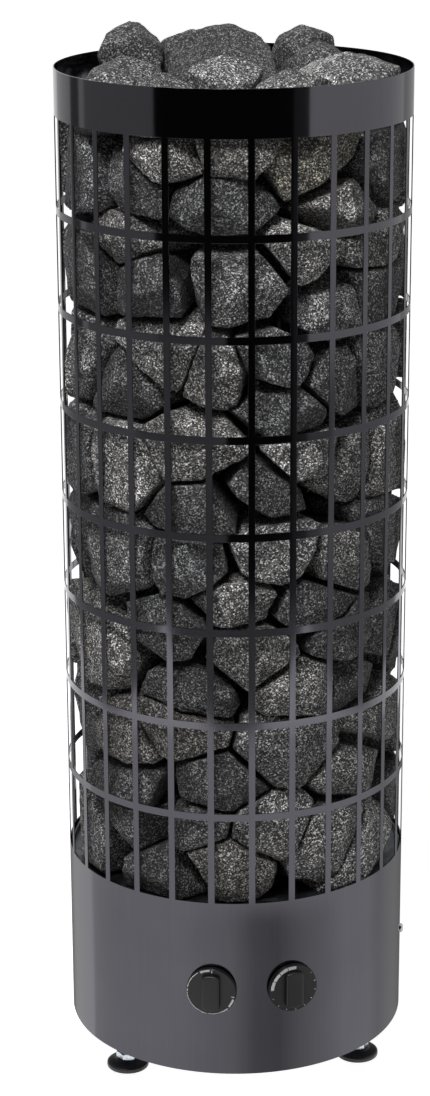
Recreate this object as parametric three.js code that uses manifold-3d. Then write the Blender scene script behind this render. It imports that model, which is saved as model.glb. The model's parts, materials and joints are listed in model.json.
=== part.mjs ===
// Pillar sauna heater: a lattice steel shell full of stones over an electrical base, in millimetres.
// The origin is on the shell's axis at floor level, +Z is up, and the controls face -Y.
// Angles are in degrees around the axis, from the front (-Y) towards +X.
import * as THREE from "three";
import { ConvexGeometry } from "three/addons/geometries/ConvexGeometry.js";
import { mergeVertices } from "three/addons/utils/BufferGeometryUtils.js";
import Module from "manifold-3d";

const wasm = await Module();
wasm.setup();

// Shell: one rolled sheet with rows of windows between two plain bands
const SHELL_DIAMETER = 320;
const SHELL_WALL = 1;
const SHELL_LIFT = 33;
const LOWER_BAND = 173;
const UPPER_BAND = 42;
const WINDOW_ROWS = 8;
const WINDOW_HEIGHT = 81;
const RING_HEIGHT = 7;
const BAR_COUNT = 27;
const BAR_WIDTH = 6;

// Gaps between pieces, and how far joined solids and drills run past a face
const FIT_GAP = 0.3;
const HOLE_GAP = 0.5;
const JOIN_DEPTH = 1;
const DRILL_OVERRUN = 1;
const WELD_DISTANCE = 0.001;

// Flats round a curve, by the size of the piece
const KNOB_HOLE_SIDES = 16;
const KNOB_SIDES = 20;
const SHIELD_SIDES = 16;
const ROUND_SIDES = 12;
const SMALL_SIDES = 8;
const THIN_SIDES = 6;

// Base pan and stone floor: pressed sheet discs with a rim
const SHEET = 1.5;
const PAN_RECESS = 6;
const PAN_RIM = 20;
const FLOOR_RECESS = 8;
const FLOOR_RIM = 7;
const DISC_SIDES = 30;

// Uprights between the pan and the stone floor, each behind a shell screw
const POST_ANGLES = [80, 165, 250];
const POST_WIDTH = 30;
const POST_DEPTH = 14;
const SCREW_HEIGHT = 79;
const SCREW_RADIUS = 2;
const SCREW_LENGTH = 12;
const SCREW_HEAD_RADIUS = 4.2;
const SCREW_HEAD_HEIGHT = 2.6;
const SCREW_CROWN_RADIUS = 2.5;

// Levelling feet: a moulded pad on a threaded stud, held by a nut on the pan
const FOOT_ANGLES = [-58, 58, 180];
const FOOT_INSET = 29;
const PAD_RADIUS = 20;
const PAD_HEIGHT = 9;
const PAD_SOLE = 2.7;
const PAD_ROUND = 2;
const STUD_RADIUS = 4;
const STUD_TOP = 65;
const COLLAR_WIDTH = 19;
const COLLAR_HEIGHT = 6;
const NUT_WIDTH = 13;
const NUT_HEIGHT = 8;

// Controls: the thermostat left of the front centre, the timer right of it, one bar pitch out
const KNOB_HEIGHT = 86.5;
const KNOB_HOLE_RADIUS = 12;
const KNOB_RADIUS = 23.5;
const KNOB_STANDOFF = 1;
const SKIRT_DEPTH = 5;
const SKIRT_TAPER = 0.5;
const SKIRT_ROUND = 0.8;
const HUB_RADIUS = 11;
const HUB_TAIL = 4;
const GRIP_WIDTH = 16.5;
const GRIP_REACH = 17.6;
const GRIP_HEIGHT = 5;
const GRIP_ROUND = 1.4;
const SPINDLE_RADIUS = 3;
const SPINDLE_IN_KNOB = 8;
const SPINDLE_IN_BODY = 12;
const BUSH_RADIUS = 5;
const BRACKET_DEPTH = 27;
const BRACKET_HALF = 30;
const BRACKET_FLANGE = 12;
const TIMER = { width: 38, height: 50, depth: 34 };
const THERMOSTAT = { width: 36, height: 44, depth: 30 };
const BODY_ROUND = 2;

// Temperature sensor: a bulb on a capillary tube from the back of the thermostat
const CAPILLARY_RADIUS = 1.2;
const CAPILLARY_STEPS = 10;
const BULB_RADIUS = 3;
const BULB_LENGTH = 70;
const SENSOR_SWING = 42;
const SENSOR_DROP = 20;

// Heating elements: three U tubes that stand in the stones
const ELEMENT_COUNT = 3;
const ELEMENT_CIRCLE = 66;
const ELEMENT_RADIUS = 4;
const ELEMENT_HEIGHT = 560;
const ELEMENT_TAIL = 40;
const BEND_STEPS = 6;
const PIN_RADIUS = 2;
const PIN_LENGTH = 14;
const CLAMP_WIDTH = 24;
const CLAMP_HEIGHT = 4;
const CLAMP_CHAMFER = 5;

// Heat shield: a dish under the stone floor
const SHIELD_RADIUS = 110;
const SHIELD_DROP = 26;

// Mains connection: a terminal block on the pan and a grommet behind it
const TERMINALS = 5;
const TERMINAL_PITCH = 12;
const TERMINAL_DEPTH = 24;
const TERMINAL_HEIGHT = 22;
const TERMINAL_STEP = 10;
const TERMINAL_HOLE = 2.6;
const TERMINAL_RADIAL = 70;
const GROMMET_RADIUS = 13;
const GROMMET_BORE = 7;
const GROMMET_FLANGE = 3;
const GROMMET_LIP = 2.5;
const GROMMET_RADIAL = 100;
const GROMMET_ANGLE = 150;

// Stones: one course per row of windows, each stone [angle, rise above the row's centre, extra bulk]
const FRONT_STONES = [
  [[-66, -10], [-45, 20], [-31, -22], [-22, 28], [-9, -8], [9, 22], [30, 6], [53, -15]],
  [[-72, 22], [-52, 12], [-45, -36], [-28, 29], [-14, -20], [17, 15, 22], [46, -24], [57, 20]],
  [[-63, 6], [-31, 36], [-22, -21], [1, 17, 18], [22, -20], [38, 22], [42, -24], [58, 12]],
  [[-75, 20], [-52, 14, 15], [-23, 11], [-5, -19], [7, 18], [25, -34], [41, 6, 15], [61, 21]],
  [[-72, 3], [-50, 8], [-20, 30, 15], [-17, -24], [4, -4], [20, 20], [40, 8], [61, 4]],
  [[-73, 10], [-49, -5], [-32, 20], [-10, 11], [9, 20], [14, -25], [34, -2], [55, 6]],
  [[-67, 4], [-49, 32], [-37, 0], [-4, 2, 30], [21, 24], [30, -23], [57, 24], [56, -18]],
  [[-68, -6], [-45, -6], [-28, 22], [-11, -14], [-6, 32], [24, 16, 18], [38, -28], [61, -1]],
];
const BACK_STONES = 5;
const BACK_FIRST = 92;
const BACK_STEP = 38;
const BACK_TURN_SWAY = 6;
const BACK_RISE_SWAY = 22;
const CORE_SWAY = 6;
const STONE_DEPTH = 36;
const STONE_SWAY = 5;
const STONE_REACH = 90;
const STONE_FLATNESS = 1.35;
const STONE_JOIN = 1;
const WALL_GAP = 2.5;
const WALL_FACETS = 20;
const FACE_REACH = [31, 37];
const FACE_SPREAD = 0.5;
const FACE_COUNT = 3;
const FACE_TURN_SWAY = 0.4;
const CHIP_SIZE = 30;
const TOP_CHIP_SIZE = 16;
const CONTACT_SLICE = 0.2;
const NEIGHBOUR_REACH = 240;
const STONE_SEED = 7;

// Loose stones heaped over the rim, each [angle, inset from the edge of the bed, peak above the rim, width]
const TOP_STONES = [
  [-133.7, 34.1, 30, 58],
  [-60.4, 38.4, 16, 74],
  [-31.1, 20.3, 10, 56],
  [-161.6, 57.7, 23, 70],
  [-10.8, 60, 20, 70],
  [16.9, 38.7, 12, 64],
  [58.7, 48, 17, 96],
  [139.5, 47.9, 25, 56],
  [105, 70.8, 15, 62],
];
const TOP_STONE_HEIGHT = 62;
const MIDDLE_STONE = { angle: -143, radius: 10, peak: 28, width: 104, height: 80 };
const TOP_FACES = 16;
const TOP_LOOSE = 0.9;
const TOP_TILT_SWAY = 0.1;
const TOP_TURN_SWAY = 0.5;
const GOLDEN_TURN = Math.PI * (3 - Math.sqrt(5));

// Sizes worked out from the ones above
const SHELL_RADIUS = SHELL_DIAMETER / 2;
const SHELL_INNER = SHELL_RADIUS - SHELL_WALL;
const ROW_PITCH = WINDOW_HEIGHT + RING_HEIGHT;
const SHELL_HEIGHT = LOWER_BAND + WINDOW_ROWS * ROW_PITCH - RING_HEIGHT + UPPER_BAND;
const BAR_PITCH = 360 / BAR_COUNT;
const BAR_HALF_ANGLE = THREE.MathUtils.radToDeg(Math.asin(BAR_WIDTH / 2 / SHELL_RADIUS));
const WINDOW_HALF_ANGLE = THREE.MathUtils.degToRad(BAR_PITCH / 2 - BAR_HALF_ANGLE);
const CLEAR_RADIUS = SHELL_INNER * Math.cos(WINDOW_HALF_ANGLE);
const RIM_LEVEL = SHELL_LIFT + SHELL_HEIGHT;
const LATTICE_LEVEL = SHELL_LIFT + LOWER_BAND;
const PAN_RADIUS = CLEAR_RADIUS - FIT_GAP;
const PAN_LEVEL = SHELL_LIFT + PAN_RECESS;
const PAN_TOP = PAN_LEVEL + SHEET;
const STONE_FLOOR_TOP = LATTICE_LEVEL - FLOOR_RECESS;
const STONE_FLOOR_UNDER = STONE_FLOOR_TOP - SHEET;
const PAN_INSIDE = (PAN_RADIUS - SHEET) * Math.cos(Math.PI / DISC_SIDES);
const POST_FACE = Math.sqrt((PAN_INSIDE - FIT_GAP) ** 2 - (POST_WIDTH / 2) ** 2);
const FOOT_CIRCLE = SHELL_RADIUS - FOOT_INSET;
const CONTROL_LEVEL = SHELL_LIFT + KNOB_HEIGHT;
const BRACKET_FACE = SHELL_RADIUS - BRACKET_DEPTH;
const BODY_FRONT = -(BRACKET_DEPTH + SHEET + FIT_GAP);
const ELEMENT_STEP = 360 / ELEMENT_COUNT;
const ELEMENT_HALF_ANGLE = ELEMENT_STEP / 4;
const ELEMENT_HALF_CHORD = ELEMENT_CIRCLE * Math.sin(THREE.MathUtils.degToRad(ELEMENT_HALF_ANGLE));
const ELEMENT_PLANE = ELEMENT_CIRCLE * Math.cos(THREE.MathUtils.degToRad(ELEMENT_HALF_ANGLE));
const ELEMENT_BOTTOM = STONE_FLOOR_UNDER - ELEMENT_TAIL;
const ELEMENT_BEND = STONE_FLOOR_TOP + ELEMENT_HEIGHT - ELEMENT_HALF_CHORD;
const BED_RADIUS = CLEAR_RADIUS - WALL_GAP;

// Finishes
const finish = (color, roughness, metalness) =>
  new THREE.MeshStandardMaterial({ color, roughness, metalness });
const graphiteSteel = finish(0x55545a, 0.32, 0.9);
const galvanisedSheet = finish(0x9a9c9e, 0.45, 0.9);
const zincPlate = finish(0xc4c8cc, 0.3, 1);
const elementSteel = finish(0x6b6762, 0.45, 0.9);
const knobPlastic = finish(0x1c1c1f, 0.4, 0);
const bodyPlastic = finish(0xd8d4c8, 0.6, 0);
const padPlastic = finish(0x111112, 0.55, 0);
const grommetRubber = finish(0x1a1a1a, 0.8, 0);
const copperTube = finish(0xb87850, 0.35, 1);
const darkStone = finish(0x4a4a4b, 0.9, 0);

const heater = new THREE.Group();

function addPiece(name, geometry, material, parent = heater) {
  const mesh = new THREE.Mesh(geometry, material);
  mesh.name = name;
  parent.add(mesh);
  return mesh;
}

// Solids for joining and cutting
function solidFrom(geometry) {
  const bare = new THREE.BufferGeometry();
  const loose = geometry.index ? geometry.toNonIndexed() : geometry;
  bare.setAttribute("position", loose.getAttribute("position"));
  const merged = mergeVertices(bare, WELD_DISTANCE);
  const vertProperties = merged.getAttribute("position").array;
  const triVerts = new Uint32Array(merged.index.array);
  return new wasm.Manifold(new wasm.Mesh({ numProp: 3, vertProperties, triVerts }));
}

function geometryFrom(solid) {
  const mesh = solid.getMesh();
  const geometry = new THREE.BufferGeometry();
  geometry.setAttribute("position", new THREE.BufferAttribute(mesh.vertProperties, 3));
  geometry.setIndex(new THREE.BufferAttribute(mesh.triVerts, 1));
  geometry.computeVertexNormals();
  return geometry;
}

const joined = (first, ...others) =>
  geometryFrom(others.reduce((sum, other) => sum.add(solidFrom(other)), solidFrom(first)));
const cut = (body, ...tools) =>
  geometryFrom(tools.reduce((rest, tool) => rest.subtract(solidFrom(tool)), solidFrom(body)));

// Places
const radians = THREE.MathUtils.degToRad;

function around(radius, angle, z = 0) {
  return new THREE.Vector3(radius * Math.sin(radians(angle)), -radius * Math.cos(radians(angle)), z);
}

// A frame on the wall at an angle: its Z axis points straight out and its Y axis up
function outwardMatrix(radius, angle, z) {
  const out = around(1, angle);
  const up = new THREE.Vector3(0, 0, 1);
  const side = new THREE.Vector3().crossVectors(up, out);
  return new THREE.Matrix4().makeBasis(side, up, out).setPosition(around(radius, angle, z));
}

function outwardGroup(radius, angle, z) {
  const group = new THREE.Group();
  group.applyMatrix4(outwardMatrix(radius, angle, z));
  heater.add(group);
  return group;
}

function uprightGroup(radius, angle, z) {
  const group = new THREE.Group();
  group.position.copy(around(radius, angle, z));
  group.rotation.z = radians(angle);
  heater.add(group);
  return group;
}

// Basic forms along +Z
function revolved(profile, sides) {
  const points = profile.map(([radius, height]) => new THREE.Vector2(radius, height));
  return new THREE.LatheGeometry(points, sides).rotateX(Math.PI / 2);
}

function rod(radius, low, high, sides) {
  const geometry = new THREE.CylinderGeometry(radius, radius, high - low, sides);
  return geometry.rotateX(Math.PI / 2).translate(0, 0, (low + high) / 2);
}

function extruded(shape, low, high) {
  const settings = { depth: high - low, bevelEnabled: false, curveSegments: SMALL_SIDES / 2 };
  return new THREE.ExtrudeGeometry(shape, settings).translate(0, 0, low);
}

function hexagon(acrossFlats) {
  const shape = new THREE.Shape();
  const corner = acrossFlats / Math.sqrt(3);
  for (let i = 0; i < 6; i++) {
    const turn = (i * Math.PI) / 3;
    shape[i ? "lineTo" : "moveTo"](corner * Math.cos(turn), corner * Math.sin(turn));
  }
  return shape;
}

function chamferedBox(width, height, chamfer) {
  const right = width / 2;
  const top = height / 2;
  const above = [
    [right, top - chamfer],
    [right - chamfer, top],
    [chamfer - right, top],
    [-right, top - chamfer],
  ];
  const below = above.map(([x, y]) => [-x, -y]);
  return new THREE.Shape([...above, ...below].map(([x, y]) => new THREE.Vector2(x, y)));
}

function circleHole(radius, x = 0, y = 0) {
  return new THREE.Path().absarc(x, y, radius, 0, 2 * Math.PI, true);
}

// The section of a folded sheet: a line of points and the sheet's thickness to its left
function foldedSheet(points, thickness) {
  const line = points.map(([x, y]) => new THREE.Vector2(x, y));
  const leftOf = (a, b) => new THREE.Vector2(a.y - b.y, b.x - a.x).normalize();
  const inner = line.map((point, i) => {
    const before = leftOf(line[Math.max(i - 1, 0)], line[Math.max(i, 1)]);
    const last = line.length - 1;
    const after = leftOf(line[Math.min(i, last - 1)], line[Math.min(i + 1, last)]);
    const mitre = before.clone().add(after).normalize();
    return point.clone().addScaledVector(mitre, thickness / mitre.dot(before));
  });
  return new THREE.Shape([...line, ...inner.reverse()]);
}

// Shell
function shellSheet() {
  const turns = [];
  for (let bar = 0; bar < BAR_COUNT; bar++) {
    turns.push(bar * BAR_PITCH - BAR_HALF_ANGLE, bar * BAR_PITCH + BAR_HALF_ANGLE);
  }
  const levels = [SHELL_LIFT, LATTICE_LEVEL];
  for (let row = 0; row < WINDOW_ROWS; row++) {
    const low = LATTICE_LEVEL + row * ROW_PITCH;
    levels.push(low + WINDOW_HEIGHT);
    if (row < WINDOW_ROWS - 1) levels.push(low + ROW_PITCH);
  }
  levels.push(RIM_LEVEL);

  const positions = [];
  const point = (radius, turn, level) => around(radius, turns[turn % turns.length], levels[level]);
  const quad = (...corners) => {
    for (const i of [0, 1, 2, 0, 2, 3]) positions.push(...corners[i].toArray());
  };
  const isWindow = (column, row) => column % 2 === 1 && row % 2 === 1;
  const isSheet = (column, row) => {
    const wrapped = (column + turns.length) % turns.length;
    return row >= 0 && row < levels.length - 1 && !isWindow(wrapped, row);
  };
  for (let column = 0; column < turns.length; column++) {
    for (let row = 0; row < levels.length - 1; row++) {
      if (!isSheet(column, row)) continue;
      const outer = (right, up) => point(SHELL_RADIUS, column + right, row + up);
      const inner = (right, up) => point(SHELL_INNER, column + right, row + up);
      quad(outer(0, 0), outer(1, 0), outer(1, 1), outer(0, 1));
      quad(inner(1, 0), inner(0, 0), inner(0, 1), inner(1, 1));
      if (!isSheet(column, row + 1)) quad(outer(0, 1), outer(1, 1), inner(1, 1), inner(0, 1));
      if (!isSheet(column, row - 1)) quad(outer(1, 0), outer(0, 0), inner(0, 0), inner(1, 0));
      if (!isSheet(column + 1, row)) quad(outer(1, 0), inner(1, 0), inner(1, 1), outer(1, 1));
      if (!isSheet(column - 1, row)) quad(inner(0, 0), outer(0, 0), outer(0, 1), inner(0, 1));
    }
  }
  const geometry = new THREE.BufferGeometry();
  return geometry.setAttribute("position", new THREE.Float32BufferAttribute(positions, 3));
}

function wallHole(radius, angle, z, sides) {
  const depth = 4 * SHELL_WALL + KNOB_STANDOFF;
  return rod(radius, -depth, depth, sides).applyMatrix4(outwardMatrix(SHELL_RADIUS, angle, z));
}

function makeShell() {
  const knobHoles = [-BAR_PITCH, BAR_PITCH].map((angle) =>
    wallHole(KNOB_HOLE_RADIUS, angle, CONTROL_LEVEL, KNOB_HOLE_SIDES),
  );
  const screwHoles = POST_ANGLES.map((angle) =>
    wallHole(SCREW_RADIUS + HOLE_GAP, angle, SHELL_LIFT + SCREW_HEIGHT, SMALL_SIDES),
  );
  addPiece("outer_shell", cut(shellSheet(), ...knobHoles, ...screwHoles), graphiteSteel);
}

// Base: pan, uprights, stone floor and heat shield
function elementLegs() {
  const legs = [];
  for (let i = 0; i < ELEMENT_COUNT; i++) {
    for (const side of [-1, 1]) legs.push(i * ELEMENT_STEP + side * ELEMENT_HALF_ANGLE);
  }
  return legs.map((angle) => around(ELEMENT_CIRCLE, angle));
}

function drilled(geometry, places, radius, low, high, sides = SMALL_SIDES) {
  const drill = rod(radius, low - DRILL_OVERRUN, high + DRILL_OVERRUN, sides);
  return cut(geometry, ...places.map((place) => drill.clone().translate(place.x, place.y, 0)));
}

function makePan() {
  const profile = [
    [0, PAN_LEVEL],
    [PAN_RADIUS, PAN_LEVEL],
    [PAN_RADIUS, PAN_LEVEL + PAN_RIM],
    [PAN_RADIUS - SHEET, PAN_LEVEL + PAN_RIM],
    [PAN_RADIUS - SHEET, PAN_TOP],
    [0, PAN_TOP],
  ];
  const feet = FOOT_ANGLES.map((angle) => around(FOOT_CIRCLE, angle));
  const disc = revolved(profile, DISC_SIDES);
  const studHoles = drilled(disc, feet, STUD_RADIUS + HOLE_GAP, PAN_LEVEL, PAN_TOP);
  const cable = [around(GROMMET_RADIAL, GROMMET_ANGLE)];
  const pan = drilled(studHoles, cable, GROMMET_RADIUS + FIT_GAP, PAN_LEVEL, PAN_TOP, ROUND_SIDES);
  addPiece("base_pan", pan, galvanisedSheet);
}

function makeStoneFloor() {
  const profile = [
    [0, STONE_FLOOR_UNDER],
    [PAN_RADIUS, STONE_FLOOR_UNDER],
    [PAN_RADIUS, STONE_FLOOR_UNDER + FLOOR_RIM],
    [PAN_RADIUS - SHEET, STONE_FLOOR_UNDER + FLOOR_RIM],
    [PAN_RADIUS - SHEET, STONE_FLOOR_TOP],
    [0, STONE_FLOOR_TOP],
  ];
  const disc = revolved(profile, DISC_SIDES);
  const legHole = ELEMENT_RADIUS + HOLE_GAP;
  const floor = drilled(disc, elementLegs(), legHole, STONE_FLOOR_UNDER, STONE_FLOOR_TOP);
  addPiece("stone_floor", floor, galvanisedSheet);
}

function makeHeatShield() {
  const rimTop = STONE_FLOOR_UNDER - FIT_GAP;
  const bottom = rimTop - SHIELD_DROP;
  const profile = [
    [0, bottom],
    [SHIELD_RADIUS, bottom],
    [SHIELD_RADIUS, rimTop],
    [SHIELD_RADIUS - SHEET, rimTop],
    [SHIELD_RADIUS - SHEET, bottom + SHEET],
    [0, bottom + SHEET],
  ];
  const dish = revolved(profile, SHIELD_SIDES);
  const legHole = ELEMENT_RADIUS + HOLE_GAP;
  const shield = drilled(dish, elementLegs(), legHole, bottom, bottom + SHEET);
  addPiece("heat_shield", shield, galvanisedSheet);
}

function makePosts() {
  const half = POST_WIDTH / 2;
  const low = PAN_TOP + FIT_GAP;
  const high = STONE_FLOOR_UNDER - FIT_GAP;
  const section = foldedSheet(
    [[half, POST_DEPTH], [half, 0], [-half, 0], [-half, POST_DEPTH]].reverse(), SHEET,
  );
  POST_ANGLES.forEach((angle, i) => {
    const group = uprightGroup(POST_FACE, angle, 0);
    const hole = rod(SCREW_RADIUS + HOLE_GAP, -POST_DEPTH, POST_DEPTH, SMALL_SIDES)
      .rotateX(Math.PI / 2)
      .translate(0, 0, SHELL_LIFT + SCREW_HEIGHT);
    addPiece(`support_post_${i + 1}`, cut(extruded(section, low, high), hole), galvanisedSheet, group);
  });
}

function makeShellScrews() {
  const seat = FIT_GAP;
  const profile = [
    [0, seat - SCREW_LENGTH],
    [SCREW_RADIUS, seat - SCREW_LENGTH],
    [SCREW_RADIUS, seat],
    [SCREW_HEAD_RADIUS, seat],
    [SCREW_HEAD_RADIUS, seat + SCREW_HEAD_HEIGHT / 2],
    [SCREW_CROWN_RADIUS, seat + SCREW_HEAD_HEIGHT],
    [0, seat + SCREW_HEAD_HEIGHT],
  ];
  POST_ANGLES.forEach((angle, i) => {
    const group = outwardGroup(SHELL_RADIUS, angle, SHELL_LIFT + SCREW_HEIGHT);
    addPiece(`shell_screw_${i + 1}`, revolved(profile, SMALL_SIDES), zincPlate, group);
  });
}

// Levelling feet
function makeFeet() {
  const bore = STUD_RADIUS + FIT_GAP;
  const padProfile = [
    [0, 0],
    [PAD_RADIUS - PAD_ROUND / 2, 0],
    [PAD_RADIUS, PAD_ROUND / 2],
    [PAD_RADIUS, PAD_HEIGHT - 2 * PAD_ROUND],
    [PAD_RADIUS - 2 * PAD_ROUND, PAD_HEIGHT - PAD_ROUND],
    [COLLAR_WIDTH / 2, PAD_HEIGHT],
    [bore, PAD_HEIGHT],
    [bore, PAD_SOLE],
    [0, PAD_SOLE],
  ];
  const collarLow = PAD_HEIGHT + FIT_GAP;
  const stud = rod(STUD_RADIUS, PAD_SOLE + FIT_GAP, STUD_TOP, SMALL_SIDES);
  const collar = extruded(hexagon(COLLAR_WIDTH), collarLow, collarLow + COLLAR_HEIGHT);
  const nutShape = hexagon(NUT_WIDTH);
  nutShape.holes.push(circleHole(STUD_RADIUS + HOLE_GAP));
  const nutLow = PAN_TOP + FIT_GAP;
  const nut = extruded(nutShape, nutLow, nutLow + NUT_HEIGHT);
  FOOT_ANGLES.forEach((angle, i) => {
    const group = uprightGroup(FOOT_CIRCLE, angle, 0);
    addPiece(`foot_pad_${i + 1}`, revolved(padProfile, ROUND_SIDES), padPlastic, group);
    addPiece(`foot_stud_${i + 1}`, joined(stud, collar), zincPlate, group);
    addPiece(`foot_nut_${i + 1}`, nut, zincPlate, group);
  });
}

// Controls
function makeKnob(name, group) {
  const back = KNOB_STANDOFF;
  const front = back + SKIRT_DEPTH;
  const boreEnd = SPINDLE_IN_KNOB - HUB_TAIL + FIT_GAP;
  const bore = SPINDLE_RADIUS + FIT_GAP;
  const profile = [
    [0, boreEnd],
    [bore, boreEnd],
    [bore, -HUB_TAIL],
    [HUB_RADIUS, -HUB_TAIL],
    [HUB_RADIUS, back + SKIRT_DEPTH / 2],
    [KNOB_RADIUS - SKIRT_ROUND, back],
    [KNOB_RADIUS, back + SKIRT_ROUND / 2],
    [KNOB_RADIUS - SKIRT_TAPER, front - SKIRT_ROUND],
    [KNOB_RADIUS - SKIRT_TAPER - SKIRT_ROUND, front],
    [0, front],
  ];
  const half = GRIP_WIDTH / 2 - GRIP_ROUND;
  const reach = GRIP_REACH - GRIP_ROUND;
  const lean = Math.asin(half / reach);
  const outline = new THREE.Shape();
  outline.absarc(0, 0, reach, Math.PI / 2 - lean, Math.PI / 2 + lean, false);
  outline.absarc(0, 0, reach, -Math.PI / 2 - lean, -Math.PI / 2 + lean, false);
  const grip = new THREE.ExtrudeGeometry(outline, {
    depth: GRIP_HEIGHT - GRIP_ROUND,
    bevelThickness: GRIP_ROUND,
    bevelSize: GRIP_ROUND,
    bevelSegments: 2,
    curveSegments: 3,
  }).translate(0, 0, front);
  const spindleSide = revolved(profile, KNOB_SIDES);
  addPiece(name, joined(spindleSide, grip), knobPlastic, group);
}

function makeControl(name, angle, size) {
  const group = outwardGroup(SHELL_RADIUS, angle, CONTROL_LEVEL);
  makeKnob(`${name}_knob`, group);

  const spindleTop = SPINDLE_IN_KNOB - HUB_TAIL;
  const spindleEnd = BODY_FRONT - SPINDLE_IN_BODY;
  const spindle = rod(SPINDLE_RADIUS, spindleEnd + FIT_GAP, spindleTop, ROUND_SIDES);
  addPiece(`${name}_spindle`, spindle, zincPlate, group);

  const outline = chamferedBox(size.width, size.height, BODY_ROUND);
  const box = extruded(outline, BODY_FRONT - size.depth, BODY_FRONT);
  const bush = rod(BUSH_RADIUS, BODY_FRONT - SHEET, -BRACKET_DEPTH + SHEET, ROUND_SIDES);
  const bore = rod(SPINDLE_RADIUS + HOLE_GAP, spindleEnd, 0, ROUND_SIDES);
  addPiece(`${name}_body`, cut(joined(box, bush), bore), bodyPlastic, group);
}

function makeControlBracket() {
  const corner = around(BRACKET_FACE / Math.cos(radians(BAR_PITCH)), 0);
  const tangent = new THREE.Vector2(Math.cos(radians(BAR_PITCH)), Math.sin(radians(BAR_PITCH)));
  const length = BRACKET_FACE * Math.tan(radians(BAR_PITCH)) + BRACKET_HALF;
  const end = [tangent.x * length, corner.y + tangent.y * length];
  const flange = [end[0] - tangent.y * BRACKET_FLANGE, end[1] + tangent.x * BRACKET_FLANGE];
  const mirrored = ([x, y]) => [-x, y];
  const line = [mirrored(flange), mirrored(end), [0, corner.y], end, flange];
  const plate = extruded(
    foldedSheet(line, SHEET), PAN_TOP + FIT_GAP, STONE_FLOOR_UNDER - FIT_GAP,
  );
  const holes = [-BAR_PITCH, BAR_PITCH].map((angle) => {
    const reach = SHEET + DRILL_OVERRUN;
    const drill = rod(BUSH_RADIUS + HOLE_GAP, -reach, reach, ROUND_SIDES);
    return drill.applyMatrix4(outwardMatrix(BRACKET_FACE, angle, CONTROL_LEVEL));
  });
  addPiece("control_bracket", cut(plate, ...holes), galvanisedSheet);
}

// A path given by its own stations, so that straight runs need no steps
class StationPath extends THREE.Curve {
  constructor(points, tangents) {
    super();
    this.points = points;
    this.tangents = tangents;
    this.steps = points.length - 1;
  }
  getPointAt(share) {
    return this.points[Math.round(share * this.steps)].clone();
  }
  getTangentAt(share) {
    return this.tangents[Math.round(share * this.steps)].clone();
  }
}

function tubeAlong(path, radius, sides) {
  const section = new THREE.Shape();
  section.absarc(0, 0, radius, 0, 2 * Math.PI, false);
  const settings = { extrudePath: path, steps: path.steps, curveSegments: sides / 2, bevelEnabled: false };
  return new THREE.ExtrudeGeometry(section, settings);
}

function makeSensor() {
  const start = around(
    SHELL_RADIUS + BODY_FRONT - THERMOSTAT.depth - FIT_GAP, -BAR_PITCH, CONTROL_LEVEL,
  );
  const away = around(-1, -BAR_PITCH);
  const side = new THREE.Vector3(-away.y, away.x, 0);
  const bulbTop = start.clone().addScaledVector(away, SENSOR_DROP).addScaledVector(side, SENSOR_SWING);
  const bulbLow = bulbTop.clone().add(new THREE.Vector3(0, 0, -SENSOR_DROP));
  const curve = new THREE.CatmullRomCurve3([
    start,
    start.clone().addScaledVector(away, SENSOR_DROP / 2),
    bulbTop,
    bulbLow,
  ]);
  const steps = CAPILLARY_STEPS;
  const shares = Array.from({ length: steps + 1 }, (_, i) => i / steps);
  const stations = shares.map((share) => curve.getPointAt(share));
  const tangents = shares.map((share) => curve.getTangentAt(share));
  const tube = tubeAlong(new StationPath(stations, tangents), CAPILLARY_RADIUS, THIN_SIDES);
  const bulb = rod(BULB_RADIUS, -BULB_LENGTH / 2, JOIN_DEPTH, SMALL_SIDES);
  bulb.translate(...bulbLow.toArray());
  addPiece("thermostat_sensor", joined(tube, bulb), copperTube);
}

// Heating elements
function makeElements() {
  const up = new THREE.Vector3(0, 0, 1);
  const down = new THREE.Vector3(0, 0, -1);
  const points = [new THREE.Vector3(-ELEMENT_HALF_CHORD, 0, ELEMENT_BOTTOM)];
  const tangents = [up];
  for (let i = 0; i <= BEND_STEPS; i++) {
    const turn = Math.PI - (i * Math.PI) / BEND_STEPS;
    const x = ELEMENT_HALF_CHORD * Math.cos(turn);
    const z = ELEMENT_BEND + ELEMENT_HALF_CHORD * Math.sin(turn);
    points.push(new THREE.Vector3(x, 0, z));
    tangents.push(new THREE.Vector3(Math.sin(turn), 0, -Math.cos(turn)));
  }
  points.push(new THREE.Vector3(ELEMENT_HALF_CHORD, 0, ELEMENT_BOTTOM));
  tangents.push(down);
  const tube = tubeAlong(new StationPath(points, tangents), ELEMENT_RADIUS, SMALL_SIDES);
  const pins = [-ELEMENT_HALF_CHORD, ELEMENT_HALF_CHORD].map((x) =>
    rod(PIN_RADIUS, ELEMENT_BOTTOM - PIN_LENGTH, ELEMENT_BOTTOM + JOIN_DEPTH, THIN_SIDES).translate(x, 0, 0),
  );
  const element = joined(tube, ...pins);

  const clampShape = chamferedBox(2 * ELEMENT_HALF_CHORD + CLAMP_WIDTH, CLAMP_WIDTH, CLAMP_CHAMFER);
  for (const x of [-ELEMENT_HALF_CHORD, ELEMENT_HALF_CHORD]) {
    clampShape.holes.push(circleHole(ELEMENT_RADIUS + HOLE_GAP, x));
  }
  const clampTop = STONE_FLOOR_UNDER - FIT_GAP;
  const clamp = extruded(clampShape, clampTop - CLAMP_HEIGHT, clampTop);
  for (let i = 0; i < ELEMENT_COUNT; i++) {
    const group = uprightGroup(ELEMENT_PLANE, i * ELEMENT_STEP, 0);
    addPiece(`heating_element_${i + 1}`, element, elementSteel, group);
    addPiece(`element_clamp_${i + 1}`, clamp, galvanisedSheet, group);
  }
}

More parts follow.
